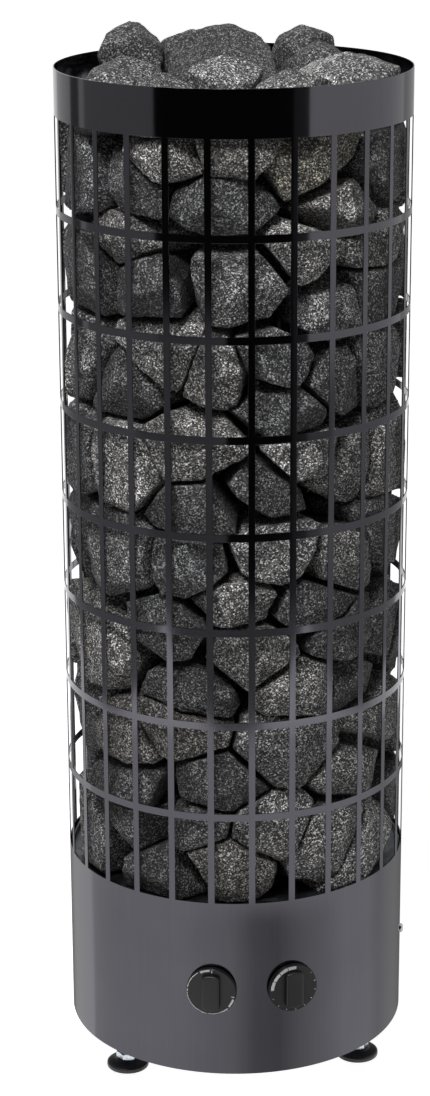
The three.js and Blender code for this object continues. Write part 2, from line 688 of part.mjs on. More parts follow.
// Mains connection
function makeConnection() {
  const length = TERMINALS * TERMINAL_PITCH;
  const low = PAN_TOP + FIT_GAP;
  const section = new THREE.Shape([
    new THREE.Vector2(0, 0),
    new THREE.Vector2(TERMINAL_DEPTH, 0),
    new THREE.Vector2(TERMINAL_DEPTH, TERMINAL_HEIGHT - TERMINAL_STEP),
    new THREE.Vector2(TERMINAL_DEPTH - TERMINAL_STEP, TERMINAL_HEIGHT - TERMINAL_STEP),
    new THREE.Vector2(TERMINAL_DEPTH - TERMINAL_STEP, TERMINAL_HEIGHT),
    new THREE.Vector2(0, TERMINAL_HEIGHT),
  ]);
  const block = extruded(section, -length / 2, length / 2);
  const entries = [];
  for (let i = 0; i < TERMINALS; i++) {
    const along = (i - (TERMINALS - 1) / 2) * TERMINAL_PITCH;
    const entry = rod(TERMINAL_HOLE, -TERMINAL_DEPTH, TERMINAL_STEP, THIN_SIDES).rotateY(Math.PI / 2);
    entries.push(entry.translate(TERMINAL_DEPTH, (TERMINAL_HEIGHT - TERMINAL_STEP) / 2, along));
  }
  const group = uprightGroup(TERMINAL_RADIAL, 180, low);
  const piece = addPiece("terminal_block", cut(block, ...entries), bodyPlastic, group);
  piece.rotation.set(Math.PI / 2, -Math.PI / 2, 0);

  const flangeTop = PAN_TOP + FIT_GAP + GROMMET_FLANGE;
  const flangeLow = PAN_LEVEL - FIT_GAP - GROMMET_FLANGE;
  const profile = [
    [GROMMET_BORE, flangeLow],
    [GROMMET_RADIUS + GROMMET_LIP, flangeLow],
    [GROMMET_RADIUS + GROMMET_LIP, PAN_LEVEL - FIT_GAP],
    [GROMMET_RADIUS, PAN_LEVEL - FIT_GAP],
    [GROMMET_RADIUS, PAN_TOP + FIT_GAP],
    [GROMMET_RADIUS + GROMMET_LIP, PAN_TOP + FIT_GAP],
    [GROMMET_RADIUS + GROMMET_LIP, flangeTop],
    [GROMMET_BORE, flangeTop],
    [GROMMET_BORE, flangeLow],
  ];
  const cable = uprightGroup(GROMMET_RADIAL, GROMMET_ANGLE, 0);
  addPiece("cable_grommet", revolved(profile, ROUND_SIDES), grommetRubber, cable);
}

// Stones
function makeRandom(seed) {
  let state = seed;
  return () => {
    state = (state * 1664525 + 1013904223) % 4294967296;
    return state / 4294967296;
  };
}

const random = makeRandom(STONE_SEED);
const between = (low, high) => low + (high - low) * random();

const makeStone = (angle, seed, extra = {}) => ({ angle, seed, bulk: 0, ends: [], ...extra });

function courseStones(course) {
  const middle = LATTICE_LEVEL + course * ROW_PITCH + WINDOW_HEIGHT / 2;
  const places = [...FRONT_STONES[course % FRONT_STONES.length]];
  for (let i = 0; i < BACK_STONES; i++) {
    const turnSway = between(-BACK_TURN_SWAY, BACK_TURN_SWAY);
    const rise = between(-BACK_RISE_SWAY, BACK_RISE_SWAY);
    places.push([BACK_FIRST + i * BACK_STEP + turnSway, rise]);
  }
  const ring = places.map(([angle, rise, bulk = 0]) => {
    const radius = BED_RADIUS - STONE_DEPTH + between(-STONE_SWAY, STONE_SWAY);
    return makeStone(angle, around(radius, angle, middle + rise), { bulk, outer: true });
  });
  const sway = between(-CORE_SWAY, CORE_SWAY);
  const core = makeStone(0, around(CORE_SWAY, between(0, 360), middle + sway));
  return [...ring, core];
}

function topStone(angle, radius, peak, width, height) {
  return makeStone(angle, around(radius, angle, RIM_LEVEL + peak - height / 2), { width, height });
}

function topStones() {
  const { angle, radius, peak, width, height } = MIDDLE_STONE;
  const stones = TOP_STONES.map(([turn, inset, ...size]) =>
    topStone(turn, BED_RADIUS - inset, ...size, TOP_STONE_HEIGHT),
  );
  return [...stones, topStone(angle, radius, peak, width, height)];
}

// A cutting plane keeps the points whose distance along its normal is below its limit
const planeThrough = (normal, point, shift = 0) => ({ normal, limit: normal.dot(point) + shift });

// The plane halfway between two stones, nearer to the less bulky one, in a space where stones lie flat
function dividingPlane(stone, other) {
  const normal = other.seed.clone().sub(stone.seed);
  normal.z *= STONE_FLATNESS ** 2;
  const length = normal.length();
  const halfway = stone.seed.clone().add(other.seed).multiplyScalar(0.5);
  const lean = (stone.bulk ** 2 - other.bulk ** 2) / (2 * length);
  return planeThrough(normal.divideScalar(length), halfway, lean - FIT_GAP / 2);
}

function wallPlanes(stone) {
  const step = 360 / WALL_FACETS;
  return [-1, 0, 1].map((i) => {
    const normal = around(1, stone.angle + i * step);
    return { normal, limit: BED_RADIUS };
  });
}

// Planes that keep a stone off the tubes of the heating elements
function elementPlanes(stone) {
  const planes = [];
  const keepOff = ELEMENT_RADIUS + 2 * FIT_GAP + STONE_JOIN;
  for (const leg of elementLegs()) {
    const normal = new THREE.Vector3(leg.x - stone.seed.x, leg.y - stone.seed.y, 0).normalize();
    if (stone.seed.z - STONE_REACH < ELEMENT_BEND) planes.push(planeThrough(normal, leg, -keepOff));
  }
  for (let i = 0; i < ELEMENT_COUNT; i++) {
    const out = around(ELEMENT_PLANE, i * ELEMENT_STEP);
    const side = around(ELEMENT_HALF_CHORD, i * ELEMENT_STEP + 90);
    for (let j = 0; j <= BEND_STEPS; j++) {
      const turn = (j * Math.PI) / BEND_STEPS;
      const point = out.clone().addScaledVector(side, Math.cos(turn));
      point.z = ELEMENT_BEND + ELEMENT_HALF_CHORD * Math.sin(turn);
      const normal = point.clone().sub(stone.seed).normalize();
      planes.push(planeThrough(normal, point, -2 * keepOff));
    }
  }
  return planes;
}

// Three broken faces round the outward direction
function facePlanes(stone) {
  const out = around(1, stone.angle);
  const side = around(1, stone.angle + 90);
  const first = between(0, 2 * Math.PI);
  const planes = [];
  for (let i = 0; i < FACE_COUNT; i++) {
    const turn = first + (i * 2 * Math.PI) / FACE_COUNT + between(-FACE_TURN_SWAY, FACE_TURN_SWAY);
    const normal = out.clone().addScaledVector(side, FACE_SPREAD * Math.cos(turn));
    normal.z = FACE_SPREAD * Math.sin(turn);
    planes.push(planeThrough(normal.normalize(), stone.seed, between(...FACE_REACH)));
  }
  return planes;
}

// Broken faces all over a loose stone, spread evenly and then swayed
function loosePlanes(stone) {
  const planes = [];
  for (let i = 0; i < TOP_FACES; i++) {
    const z = 1 - (2 * i + 1) / TOP_FACES + between(-TOP_TILT_SWAY, TOP_TILT_SWAY);
    const turn = i * GOLDEN_TURN + between(-TOP_TURN_SWAY, TOP_TURN_SWAY);
    const flat = Math.sqrt(Math.max(0, 1 - z * z));
    const normal = new THREE.Vector3(flat * Math.cos(turn), flat * Math.sin(turn), z).normalize();
    const across = Math.hypot(normal.x * stone.width, normal.y * stone.width, normal.z * stone.height);
    planes.push(planeThrough(normal, stone.seed, (across / 2) * between(TOP_LOOSE, 1)));
  }
  return planes;
}

const trimmed = (solid, plane) =>
  solid.trimByPlane(plane.normal.clone().negate().toArray(), -plane.limit);

// The planes round the room that a stone has between its neighbours
function roomPlanes(stone, all) {
  const floor = { normal: new THREE.Vector3(0, 0, -1), limit: -(STONE_FLOOR_TOP + FIT_GAP) };
  const planes = [floor, ...wallPlanes(stone), ...elementPlanes(stone)];
  for (const other of all) {
    const isNear = other !== stone && other.seed.distanceTo(stone.seed) < NEIGHBOUR_REACH;
    if (isNear) planes.push({ ...dividingPlane(stone, other), other });
  }
  if (stone.width) planes.push(...loosePlanes(stone));
  else if (stone.outer) planes.push(...facePlanes(stone));
  return planes;
}

function roomOf(stone) {
  const block = new THREE.BoxGeometry(2 * STONE_REACH, 2 * STONE_REACH, 2 * STONE_REACH);
  return stone.planes.reduce(trimmed, solidFrom(block.translate(...stone.seed.toArray())));
}

function cornersOf(solid) {
  const numbers = solid.getMesh().vertProperties;
  const corners = [];
  for (let i = 0; i < numbers.length; i += 3) corners.push(new THREE.Vector3().fromArray(numbers, i));
  return corners;
}

// Where two stones lie face to face: a thin slice of the first one's room, as far as the second reaches
function contactBetween(stone, other) {
  const { normal, limit } = dividingPlane(stone, other);
  const slice = trimmed(stone.room, { normal: normal.clone().negate(), limit: CONTACT_SLICE - limit });
  const sides = slice.isEmpty() ? [] : other.planes.filter((plane) => plane.other !== stone);
  const shared = sides.reduce(trimmed, slice);
  return { size: shared.volume(), shared, normal, other };
}

// A tied stone reaches over the gap and a little way into the other one
function tie(stone, { shared, normal, other }) {
  const corners = cornersOf(shared);
  const seat = new THREE.Vector3();
  for (const corner of corners) seat.addScaledVector(corner, 1 / corners.length);
  seat.addScaledVector(normal, CONTACT_SLICE / 2 + FIT_GAP);
  const inward = other.seed.clone().sub(seat).setLength(STONE_JOIN);
  stone.ends.push(seat.clone().add(inward));
  other.ends.push(seat);
}

// Ties the stones of a course into one by their largest contacts
function tieCourse(stones) {
  const loose = new Map(stones.map((stone) => [stone, { size: 0 }]));
  let newest = stones[0];
  loose.delete(newest);
  while (loose.size) {
    for (const [stone, known] of loose) {
      const contact = contactBetween(stone, newest);
      if (contact.size > known.size) loose.set(stone, contact);
    }
    const bySize = [...loose].sort((one, other) => other[1].size - one[1].size);
    tie(...bySize[0]);
    newest = bySize[0][0];
    loose.delete(newest);
  }
}

// A broken lump keeps its tied ends and the corners that lie apart, the farthest first
function stoneSolid(stone, chipSize) {
  const far = (corner) => corner.distanceTo(stone.seed);
  const ranked = cornersOf(stone.room).sort((one, other) => far(other) - far(one));
  const kept = [...stone.ends];
  for (const corner of ranked) {
    if (kept.every((other) => other.distanceTo(corner) > chipSize)) kept.push(corner);
  }
  return solidFrom(new ConvexGeometry(kept));
}

function makeStones() {
  const courses = Array.from({ length: WINDOW_ROWS }, (_, course) => courseStones(course));
  const loose = topStones();
  const all = [...courses.flat(), ...loose];
  for (const stone of all) {
    stone.planes = roomPlanes(stone, all);
    stone.room = roomOf(stone);
  }
  courses.forEach((stones, course) => {
    tieCourse(stones);
    const solids = stones.map((stone) => stoneSolid(stone, CHIP_SIZE));
    const fused = solids.reduce((sum, solid) => sum.add(solid));
    addPiece(`stone_course_${course + 1}`, geometryFrom(fused), darkStone);
  });
  loose.forEach((stone, i) => {
    const solid = stoneSolid(stone, TOP_CHIP_SIZE);
    addPiece(`top_stone_${i + 1}`, geometryFrom(solid), darkStone);
  });
}

makeShell();
makePan();
makeStoneFloor();
makeHeatShield();
makePosts();
makeShellScrews();
makeFeet();
makeControlBracket();
makeControl("thermostat", -BAR_PITCH, THERMOSTAT);
makeControl("timer", BAR_PITCH, TIMER);
makeSensor();
makeElements();
makeConnection();
makeStones();

export default heater;
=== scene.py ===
"""Looks of a pillar sauna heater: a lattice steel shell full of broken stones, two dials and three feet.

Lengths are written in millimetres and turned to metres where a mesh is made. The heater's axis is the
Z axis, the controls face -Y, and angles are in degrees round the axis, from the front towards +X. The
turn sways of broken faces and the roll of the camera are in radians.
"""

import json
import math

import bmesh
import bpy
import numpy as np
from mathutils import Matrix, Vector, noise


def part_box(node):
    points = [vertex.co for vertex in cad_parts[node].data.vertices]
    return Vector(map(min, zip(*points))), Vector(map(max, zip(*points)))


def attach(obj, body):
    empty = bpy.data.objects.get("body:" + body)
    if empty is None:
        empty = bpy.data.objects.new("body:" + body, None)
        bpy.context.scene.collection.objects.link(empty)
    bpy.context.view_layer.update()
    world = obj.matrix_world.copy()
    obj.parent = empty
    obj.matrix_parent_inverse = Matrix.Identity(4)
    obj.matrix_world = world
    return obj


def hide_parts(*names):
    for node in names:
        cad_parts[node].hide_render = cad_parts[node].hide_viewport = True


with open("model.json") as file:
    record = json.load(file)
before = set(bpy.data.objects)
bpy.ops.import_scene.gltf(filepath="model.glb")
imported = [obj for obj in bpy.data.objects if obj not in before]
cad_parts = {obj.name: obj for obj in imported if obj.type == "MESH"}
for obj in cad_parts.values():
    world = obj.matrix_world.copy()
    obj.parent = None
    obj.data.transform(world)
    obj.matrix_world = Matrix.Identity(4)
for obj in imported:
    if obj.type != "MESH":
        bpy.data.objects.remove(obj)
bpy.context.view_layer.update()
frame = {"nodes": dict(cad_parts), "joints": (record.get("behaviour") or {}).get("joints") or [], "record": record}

MM = 0.001
FIT_GAP = 0.3

# Kinds of node that come up often
MATH = "ShaderNodeMath"
VECTOR_MATH = "ShaderNodeVectorMath"
MAP_RANGE = "ShaderNodeMapRange"
NOISE = "ShaderNodeTexNoise"
RAMP = "ShaderNodeValToRGB"
BUMP = "ShaderNodeBump"

# Rounded corners of a section, and the angles in degrees past which an edge is rounded or stays sharp
CORNER_STEPS = 5
CORNER_SHARE = 2.2
BEVEL_ANGLE = 40
SHARP_ANGLE = 35
STUD_SHARP_ANGLE = 30

# Shell: one rolled sheet with rows of windows between two plain bands
SHELL_RADIUS = 160
SHELL_WALL = 1
SHELL_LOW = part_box("outer_shell")[0].z / MM
RIM_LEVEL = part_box("outer_shell")[1].z / MM
LOWER_BAND = 173
WINDOW_ROWS = 8
WINDOW_HEIGHT = 81
RING_HEIGHT = 7
BAR_COUNT = 27
BAR_WIDTH = 6
STEPS_PER_BAR = 8
BAR_STEPS = 2
SHEET_EDGE_ROUND = 0.15
SHEET_EDGE_STEPS = 2
CUTTER_REACH = 4
ROLLED_FACE = 0.99
WELD = 0.01
LATTICE_LEVEL = SHELL_LOW + LOWER_BAND
ROW_PITCH = WINDOW_HEIGHT + RING_HEIGHT
BAR_PITCH = 360 / BAR_COUNT

# Screws that hold the shell
SCREW_ANGLES = (80, 165, 250)
SCREW_HEIGHT = 79
SCREW_LEVEL = SHELL_LOW + SCREW_HEIGHT
SCREW_HEAD_RADIUS = 4.2
SCREW_HEAD_HEIGHT = 2.6
SCREW_HEAD_STRAIGHT = 0.45
SCREW_CROWN_WIDTH = 0.8
SCREW_CROWN_HEIGHT = 0.85
SCREW_SHANK_RADIUS = 2
SCREW_LENGTH = 12
SCREW_RECESS_RADIUS = 1.5
SCREW_RECESS_DEPTH = 1.4
SCREW_RECESS_RIM = 0.8
SCREW_RECESS_TAPER = 0.9
SCREW_ROUND = 0.35
SCREW_ROUND_STEPS = 3
SCREW_SIDES = 36
SCREW_HOLE_RADIUS = 2.5
SCREW_HOLE_SIDES = 32

# Dials: a skirt with a printed scale and a bar to grip, one bar pitch to each side of the front
DIAL_SIDES = {"thermostat": -1, "timer": 1}
KNOB_HOLE_RADIUS = 12
KNOB_FLATS = 96
KNOB_RADIUS = 23.5
KNOB_STANDOFF = 1
SKIRT_DEPTH = 5
SKIRT_TAPER = 0.5
SKIRT_ROUND = 0.5
HUB_RADIUS = 11
HUB_TAIL = 4
SPINDLE_BORE = 3.3
BORE_END = 4.3
GRIP_WIDTH = 16.5
GRIP_REACH = 17.6
GRIP_HEIGHT = 5
GRIP_ROUND = 1.4
GRIP_ROUND_STEPS = 4
GRIP_END_STEPS = 12
GRIP_SINK = 1
KNOB_FRONT = KNOB_STANDOFF + SKIRT_DEPTH

# Printed scales, each mark [first and last degree clockwise from the top, inset of its inner edge and
# of its outer edge]
SCALE_RADIUS = KNOB_RADIUS - SKIRT_TAPER - SKIRT_ROUND
THERMOSTAT_MARKS = [
    [-27, -3, 1.9, 0.1],
    [1, 4, 3.6, 0.6],
    [-33, -80, 0.7, 0],
    [-84, -90, 1.2, 0],
    [-93, -170, 0.6, 0],
    [-173, -225, 0.9, 0],
    [-230, -253, 1.9, 0.1],
    [-258, -261, 3.2, 0.4],
]
TIMER_MARKS = [
    [-88, -64, 3.3, 0.3],
    [-62, -40, 3.3, 0.3],
    [-38, -16, 3.3, 0.3],
    [-14, 7, 3.3, 0.3],
]
MARK_STEP = 3
PRINT_HEIGHT = 0.06
PRINT_WELD = 0.001
NUMERAL_COUNT = 9
NUMERAL_FIRST = 52
NUMERAL_STEP = 24.5
NUMERAL_HEIGHT = 2.3

# Feet: a moulded pad, a hexagon collar and a threaded stud
PAD_RADIUS = 20
PAD_HEIGHT = 9
PAD_SOLE = 2.7
PAD_ROUND = 1.2
PAD_FLATS = 72
FOOT_COUNT = 3
STUD_RADIUS = 4
STUD_TOP = 65
STUD_CHAMFER = 1
STUD_FLATS = 24
THREAD_PITCH = 1.25
THREAD_DEPTH = 0.5
THREAD_STEPS = 6
COLLAR_WIDTH = 19
COLLAR_HEIGHT = 6
COLLAR_FLATS = 6
COLLAR_LOW = PAD_HEIGHT + FIT_GAP
COLLAR_TOP = COLLAR_LOW + COLLAR_HEIGHT
COLLAR_CHAMFER_WIDTH = 0.3
COLLAR_CHAMFER_HEIGHT = 0.8
COLLAR_CHAMFER_FLATS = 48

# Section of a pad, each [radius, height], from the middle of its sole round to the bottom of its bore
PAD_SECTION = [
    [0, 0.4],
    [14, 0.4],
    [15, 0],
    [PAD_RADIUS - 0.8, 0],
    [PAD_RADIUS, 0.9],
    [PAD_RADIUS, 4.2],
    [PAD_RADIUS - 1.2, 5.4],
    [12, 7],
    [10, PAD_HEIGHT],
    [STUD_RADIUS + FIT_GAP, PAD_HEIGHT],
    [STUD_RADIUS + FIT_GAP, PAD_SOLE],
    [0, PAD_SOLE],
]

# Stones: one course for each row of windows, each stone [angle, rise above the row's centre, extra bulk]
FRONT_STONES = [
    [[-66, -10], [-45, 20], [-31, -22], [-22, 28], [-9, -8], [9, 22], [30, 6], [53, -15]],
    [[-72, 22], [-52, 12], [-45, -36], [-28, 29], [-14, -20], [17, 15, 22], [46, -24], [57, 20]],
    [[-63, 6], [-31, 36], [-22, -21], [1, 17, 18], [22, -20], [38, 22], [42, -24], [58, 12]],
    [[-75, 20], [-52, 14, 15], [-23, 11], [-5, -19], [7, 18], [25, -34], [41, 6, 15], [61, 21]],
    [[-72, 3], [-50, 8], [-20, 30, 15], [-17, -24], [4, -4], [20, 20], [40, 8], [61, 4]],
    [[-73, 10], [-49, -5], [-32, 20], [-10, 11], [9, 20], [14, -25], [34, -2], [55, 6]],
    [[-67, 4], [-49, 32], [-37, 0], [-4, 2, 30], [21, 24], [30, -23], [57, 24], [56, -18]],
    [[-68, -6], [-45, -6], [-28, 22], [-11, -14], [-6, 32], [24, 16, 18], [38, -28], [61, -1]],
]
BACK_STONES = 5
BACK_FIRST = 92
BACK_STEP = 38
BACK_TURN_SWAY = 6
BACK_RISE_SWAY = 22
CORE_SWAY = 6
STONE_DEPTH = 36
STONE_SWAY = 5
STONE_FLATNESS = 1.35
STONE_SEED = 7
DRAW_FACTOR = 1664525
DRAW_STEP = 1013904223
DRAW_RANGE = 4294967296
STONE_BED_RADIUS = 155.74
FLOOR_SHEET = 1.5
STONE_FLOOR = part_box("stone_floor")[0].z / MM + FLOOR_SHEET + FIT_GAP
WALL_FACETS = 20
FACE_REACH = (31, 37)
FACE_SPREAD = 0.5
FACE_COUNT = 3
FACE_TURN_SWAY = 0.4
NEIGHBOUR_REACH = 240

# Loose stones heaped over the rim, each [angle, inset from the edge of the bed, peak above the rim,
# width], and the one in the middle
TOP_STONES = [
    [-133.7, 34.1, 30, 58],
    [-60.4, 38.4, 16, 74],
    [-31.1, 20.3, 10, 56],
    [-161.6, 57.7, 23, 70],
    [-10.8, 60, 20, 70],
    [16.9, 38.7, 12, 64],
    [58.7, 48, 17, 96],
    [139.5, 47.9, 25, 56],
    [105, 70.8, 15, 62],
]
TOP_STONE_HEIGHT = 62
MIDDLE_STONE = {"angle": -143, "radius": 10, "peak": 28, "width": 104, "height": 80}

# Peak of the stone in the middle of the heap [sideways, back, above the rim], each face that slopes
# down from it [direction, slope], and how far up a face points that these take the place of
MIDDLE_PEAK = (-10, 38, 37)
MIDDLE_SLOPES = [[-45, 36], [45, 36], [-120, 24], [125, 24]]
UPPER_FACE = 0.5

# Broken faces of a loose stone
TOP_FACES = 16
TOP_LOOSE = 0.9
TOP_TILT_SWAY = 0.1
TOP_TURN_SWAY = 0.5
GOLDEN_TURN = math.pi * (3 - math.sqrt(5))

# Heating elements, which the stones keep off
ELEMENT_COUNT = 3
ELEMENT_CIRCLE = 66
ELEMENT_RADIUS = 4
ELEMENT_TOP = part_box("heating_element_1")[1].z / MM - ELEMENT_RADIUS
ELEMENT_KEEP_OFF = 5.6
ELEMENT_BEND_STEPS = 6
STONE_REACH = 90

# Shape of a broken stone: how sharp its edges are, and the chips broken off it, as shares of its reach
LUMP_DETAIL = 5
EDGE_SHARPNESS = 160
HARD_EDGE = 200
CENTRE_SHARE = 0.75
CHIP_COUNT = 6
FULL_CHIP_DEPTH = (0.86, 0.98)
OUTWARD_CHIP = 0.35
OUTWARD_DEPTH = 0.88
ROOF_FACES = 4
ROOF_STEEPNESS = (0.45, 0.8)
ROOF_TURN_SWAY = 0.5

# Packed stones are chipped more and shrunk towards the shell, so that dark gaps show between them. From
# the first angle on, at the sides and the back, both are less, and up to the second one the faces
# stand out farther, so that little daylight shows past the edges of the shell
FRONT_CHIP_DEPTH = (0.6, 0.92)
FRONT_SHRINK = (0.86, 1.0)
SIDE_CHIP_DEPTH = (0.68, 0.94)
SIDE_SHRINK = (0.91, 1.0)
SIDE_ANGLES = (50, 130)
SIDE_FILL = 7

# Surface of a stone: roughness in millimetres, and the tones of stones, faces and ridges
ROUGH_HEIGHT = 1.2
ROUGH_SPACING = 17
ROUGH_OCTAVES = 4
ROUGH_FALL = 0.8
ROUGH_STEP = 2.1
ROUGH_MIDDLE = 0.5
ROUGH_SPREAD = 500
FACET_TONES = (0.62, 1.42)
# Ridges between faces are paler: crushed-edge paleness together with a painted highlight
RIDGE_START = 0.95
RIDGE_TONE = 1.35
STONE_TONES = (
    (1.0, 1.0, 1.0),
    (0.72, 0.73, 0.75),
    (1.3, 1.28, 1.24),
    (0.6, 0.6, 0.62),
    (1.6, 1.58, 1.55),
    (1.04, 1.0, 0.94),
)
HEAP_TONES = (0.65, 0.9, 1.0, 0.55, 1.05, 0.95, 1.35, 0.55, 0.6, 0.46)

# The one warm stone, by its course, counted from 0 at the bottom, and its angle
WARM_STONE = (7, 24)
WARM_TONE = (1.25, 1.2, 1.0)

# Camera of the photograph, an image of 430 by 1096 pixels. It sees as far as its clip, in metres
IMAGE_HEIGHT = 1096
CAMERA_DISTANCE = 2409.1
CAMERA_HEIGHT = 1254.3
CAMERA_AZIMUTH = -5.3
CAMERA_PITCH = 17.478
CAMERA_ROLL = -0.0027
FOCAL_PIXELS = 2699.56
SIDE_SHIFT_PIXELS = -19.94
SENSOR = 36
CAMERA_CLIP = 200

# Studio: white paper under a soft lamp, and a painted reflection of a dark room round it, which shows on the
# steel only. The paper lies as low as the feet reach when they are screwed right out
FLOOR_REACH = 40000
FLOOR_LEVEL = -12.2
PAPER_GLOW = 0.93
WORLD_LIGHT = 0.11
LAMP_POWER = 31
LAMP_SIZE = 700
LAMP_TURN = -25
LAMP_DISTANCE = 1200
LAMP_HEIGHT = 2200
LAMP_AIM = 700
STUDIO_RADIUS = 3000
STUDIO_HEIGHT = 3200
CARD_RADIUS = 1600
WALL_STEP = 5
SCREEN_LIFT = 3

# Each painted wall reflection [first and last degree from the camera, grey], each painted card reflection
# [the same, its lower edge, grey]
STUDIO_WALLS = [
    [-180, -150, 0.9],
    [-150, -124, 0.55],
    [-124, -113, 0.12],
    [-113, -107, 0.55],
    [-107, -49, 0.28],
    [46, 135, 0.68],
    [135, 180, 0.4],
]
FRONT_CARDS = [
    [-49, -5, 430, 0.008],
    [-5, 36, 0, 0.008],
    [36, 46, 0, 0.06],
]

# Painted reflection of the paper in the lower band, each [degree on the band from the camera, grey],
# and painted shade in front of the heater, each [the same degree, share of the grey that is left]
PAPER_REACH = 930
PAPER_STEP = 2
PAINTED_PAPER_GREYS = [
    [-90, 0.1],
    [-80, 0.3],
    [-77, 0.5],
    [-70, 0.78],
    [-60, 1.2],
    [-58, 0.88],
    [-40, 0.93],
    [40, 1.0],
    [52, 0.9],
    [58, 0.65],
    [63, 0.6],
    [70, 0.45],
    [79, 0.21],
    [90, 0.05],
]
PAINTED_FRONT_SHADE = [[-19, 1.0], [-2, 0.78], [6, 0.44], [14, 0.37], [22, 0.6], [40, 1.0]]
SHADE_REACH = 390
SHADE_END = 460

# Each painted reflection of the floor beyond the paper [name, limits sideways, limits towards the camera, grey]
FLOOR_REFLECTIONS = [
    ["front_floor", (-3000, 3000), (1090, 9000), 0.2],
    ["left_floor", (-3000, -1100), (-3000, 1090), 0.32],
    ["right_floor", (1100, 3000), (-3000, 1090), 0.4],
]


def linear(hex_colour):
    """An sRGB colour such as #5e5d63 as linear RGBA."""
    channels = [int(hex_colour[i:i + 2], 16) / 255 for i in (1, 3, 5)]
    return [c / 12.92 if c <= 0.04045 else ((c + 0.055) / 1.055) ** 2.4 for c in channels] + [1]


def add_node(tree, kind, *values, inputs=(), stops=(), **settings):
    """A node with its settings. An input takes a value, a socket or a node, whose first output it is.
    The stops of a colour ramp are (position, sRGB hex)."""
    node = tree.nodes.new(kind)
    for name, value in settings.items():
        setattr(node, name, value)
    for key, value in [*enumerate(values), *dict(inputs).items()]:
        source = value.outputs[0] if isinstance(value, bpy.types.Node) else value
        if isinstance(source, bpy.types.NodeSocket):
            tree.links.new(source, node.inputs[key])
        else:
            node.inputs[key].default_value = source
    for _ in stops[2:]:
        node.color_ramp.elements.new(0.5)
    for i, (position, colour) in enumerate(stops):
        node.color_ramp.elements[i].position = position
        node.color_ramp.elements[i].color = linear(colour)
    return node


def around(radius, angle, z=0.0):
    """A place by its distance from the axis, its angle from the front and its height."""
    turn = math.radians(angle)
    return np.array([radius * math.sin(turn), -radius * math.cos(turn), z])


# Materials


def new_material(name):
    """A material with its shader and the object's own coordinates in millimetres."""
    material = bpy.data.materials.new(name)
    material.use_nodes = True
    tree = material.node_tree
    tree.nodes.clear()
    shader = add_node(tree, "ShaderNodeBsdfPrincipled")
    add_node(tree, "ShaderNodeOutputMaterial", shader)
    place = add_node(tree, "ShaderNodeTexCoord").outputs["Object"]
    millimetres = add_node(tree, VECTOR_MATH, place, inputs={"Scale": 1 / MM}, operation="SCALE")
    return material, tree, shader, millimetres


def drive(tree, shader, *sources):
    """Links the colour of a material, and its roughness and relief where they vary, to its shader."""
    for source, socket in zip(sources, ("Base Color", "Roughness", "Normal")):
        tree.links.new(source.outputs[0], shader.inputs[socket])


def graphite_steel():
    """Stainless sheet with a graphite coat, rolled and finely brushed upright: dark, clear reflections
    that are drawn out a little along the grain, in clouds about 80 mm wide. The brush lines are drawn
    about 0.7 mm wide to show."""
    material, tree, shader, place = new_material("graphite_steel")
    shader.inputs["Metallic"].default_value = 1.0
    drawn_out = add_node(tree, VECTOR_MATH, place, (1.4, 1.4, 0.012), operation="MULTIPLY")
    grain = add_node(tree, NOISE, drawn_out, inputs={"Scale": 1.0, "Detail": 3.0})
    cloud = add_node(tree, NOISE, place, inputs={"Scale": 0.012, "Detail": 3.0})
    both = add_node(tree, MATH, grain, cloud, operation="ADD")
    mixed = add_node(tree, MATH, both, 0.5, operation="MULTIPLY")
    colour = add_node(tree, RAMP, mixed, stops=[(0.3, "#5b5a60"), (0.7, "#636268")])
    gloss = add_node(tree, MAP_RANGE, mixed, 0.3, 0.7, 0.07, 0.13)
    relief = add_node(tree, BUMP, inputs={"Height": grain, "Distance": 0.002 * MM})
    drive(tree, shader, colour, gloss, relief)
    return material


def galvanised_sheet():
    """Zinc-dipped steel sheet: a patchwork of dull crystals about 9 mm wide, each its own grey."""
    material, tree, shader, place = new_material("galvanised_sheet")
    shader.inputs["Metallic"].default_value = 1.0
    crystals = add_node(tree, "ShaderNodeTexVoronoi", place, inputs={"Scale": 1 / 9})
    tone = add_node(tree, "ShaderNodeSeparateColor", crystals.outputs["Color"])
    colour = add_node(tree, RAMP, tone, stops=[(0.0, "#55585a"), (1.0, "#73767a")])
    gloss = add_node(tree, MAP_RANGE, tone.outputs[1], 0, 1, 0.38, 0.55)
    drive(tree, shader, colour, gloss)
    return material


def clouded_metal(name, stops, patch_mm, roughness):
    """A bare or plated metal whose colour and gloss drift in patches of that size."""
    material, tree, shader, place = new_material(name)
    shader.inputs["Metallic"].default_value = 1.0
    cloud = add_node(tree, NOISE, place, inputs={"Scale": 1 / patch_mm, "Detail": 4.0})
    colour = add_node(tree, RAMP, cloud, stops=stops)
    gloss = add_node(tree, MAP_RANGE, cloud, 0.3, 0.7, *roughness)
    drive(tree, shader, colour, gloss)
    return material


def zinc_plate():
    """Bright zinc plating on turned steel: a bluish silver, a little uneven."""
    return clouded_metal("zinc_plate", [(0.3, "#b4bac4"), (0.7, "#d4d9e2")], 4, (0.2, 0.34))


def drawn_copper():
    """Drawn copper tube: warm and fairly bright, tarnished brown in patches."""
    return clouded_metal("drawn_copper", [(0.35, "#8a5238"), (0.65, "#c07c55")], 7, (0.3, 0.5))


def element_steel():
    """Heat-tinted stainless tube: dull brown-grey that drifts to straw and blue along its length."""
    tints = [(0.3, "#4f4a47"), (0.5, "#6f655a"), (0.7, "#575a66")]
    return clouded_metal("element_steel", tints, 50, (0.4, 0.6))


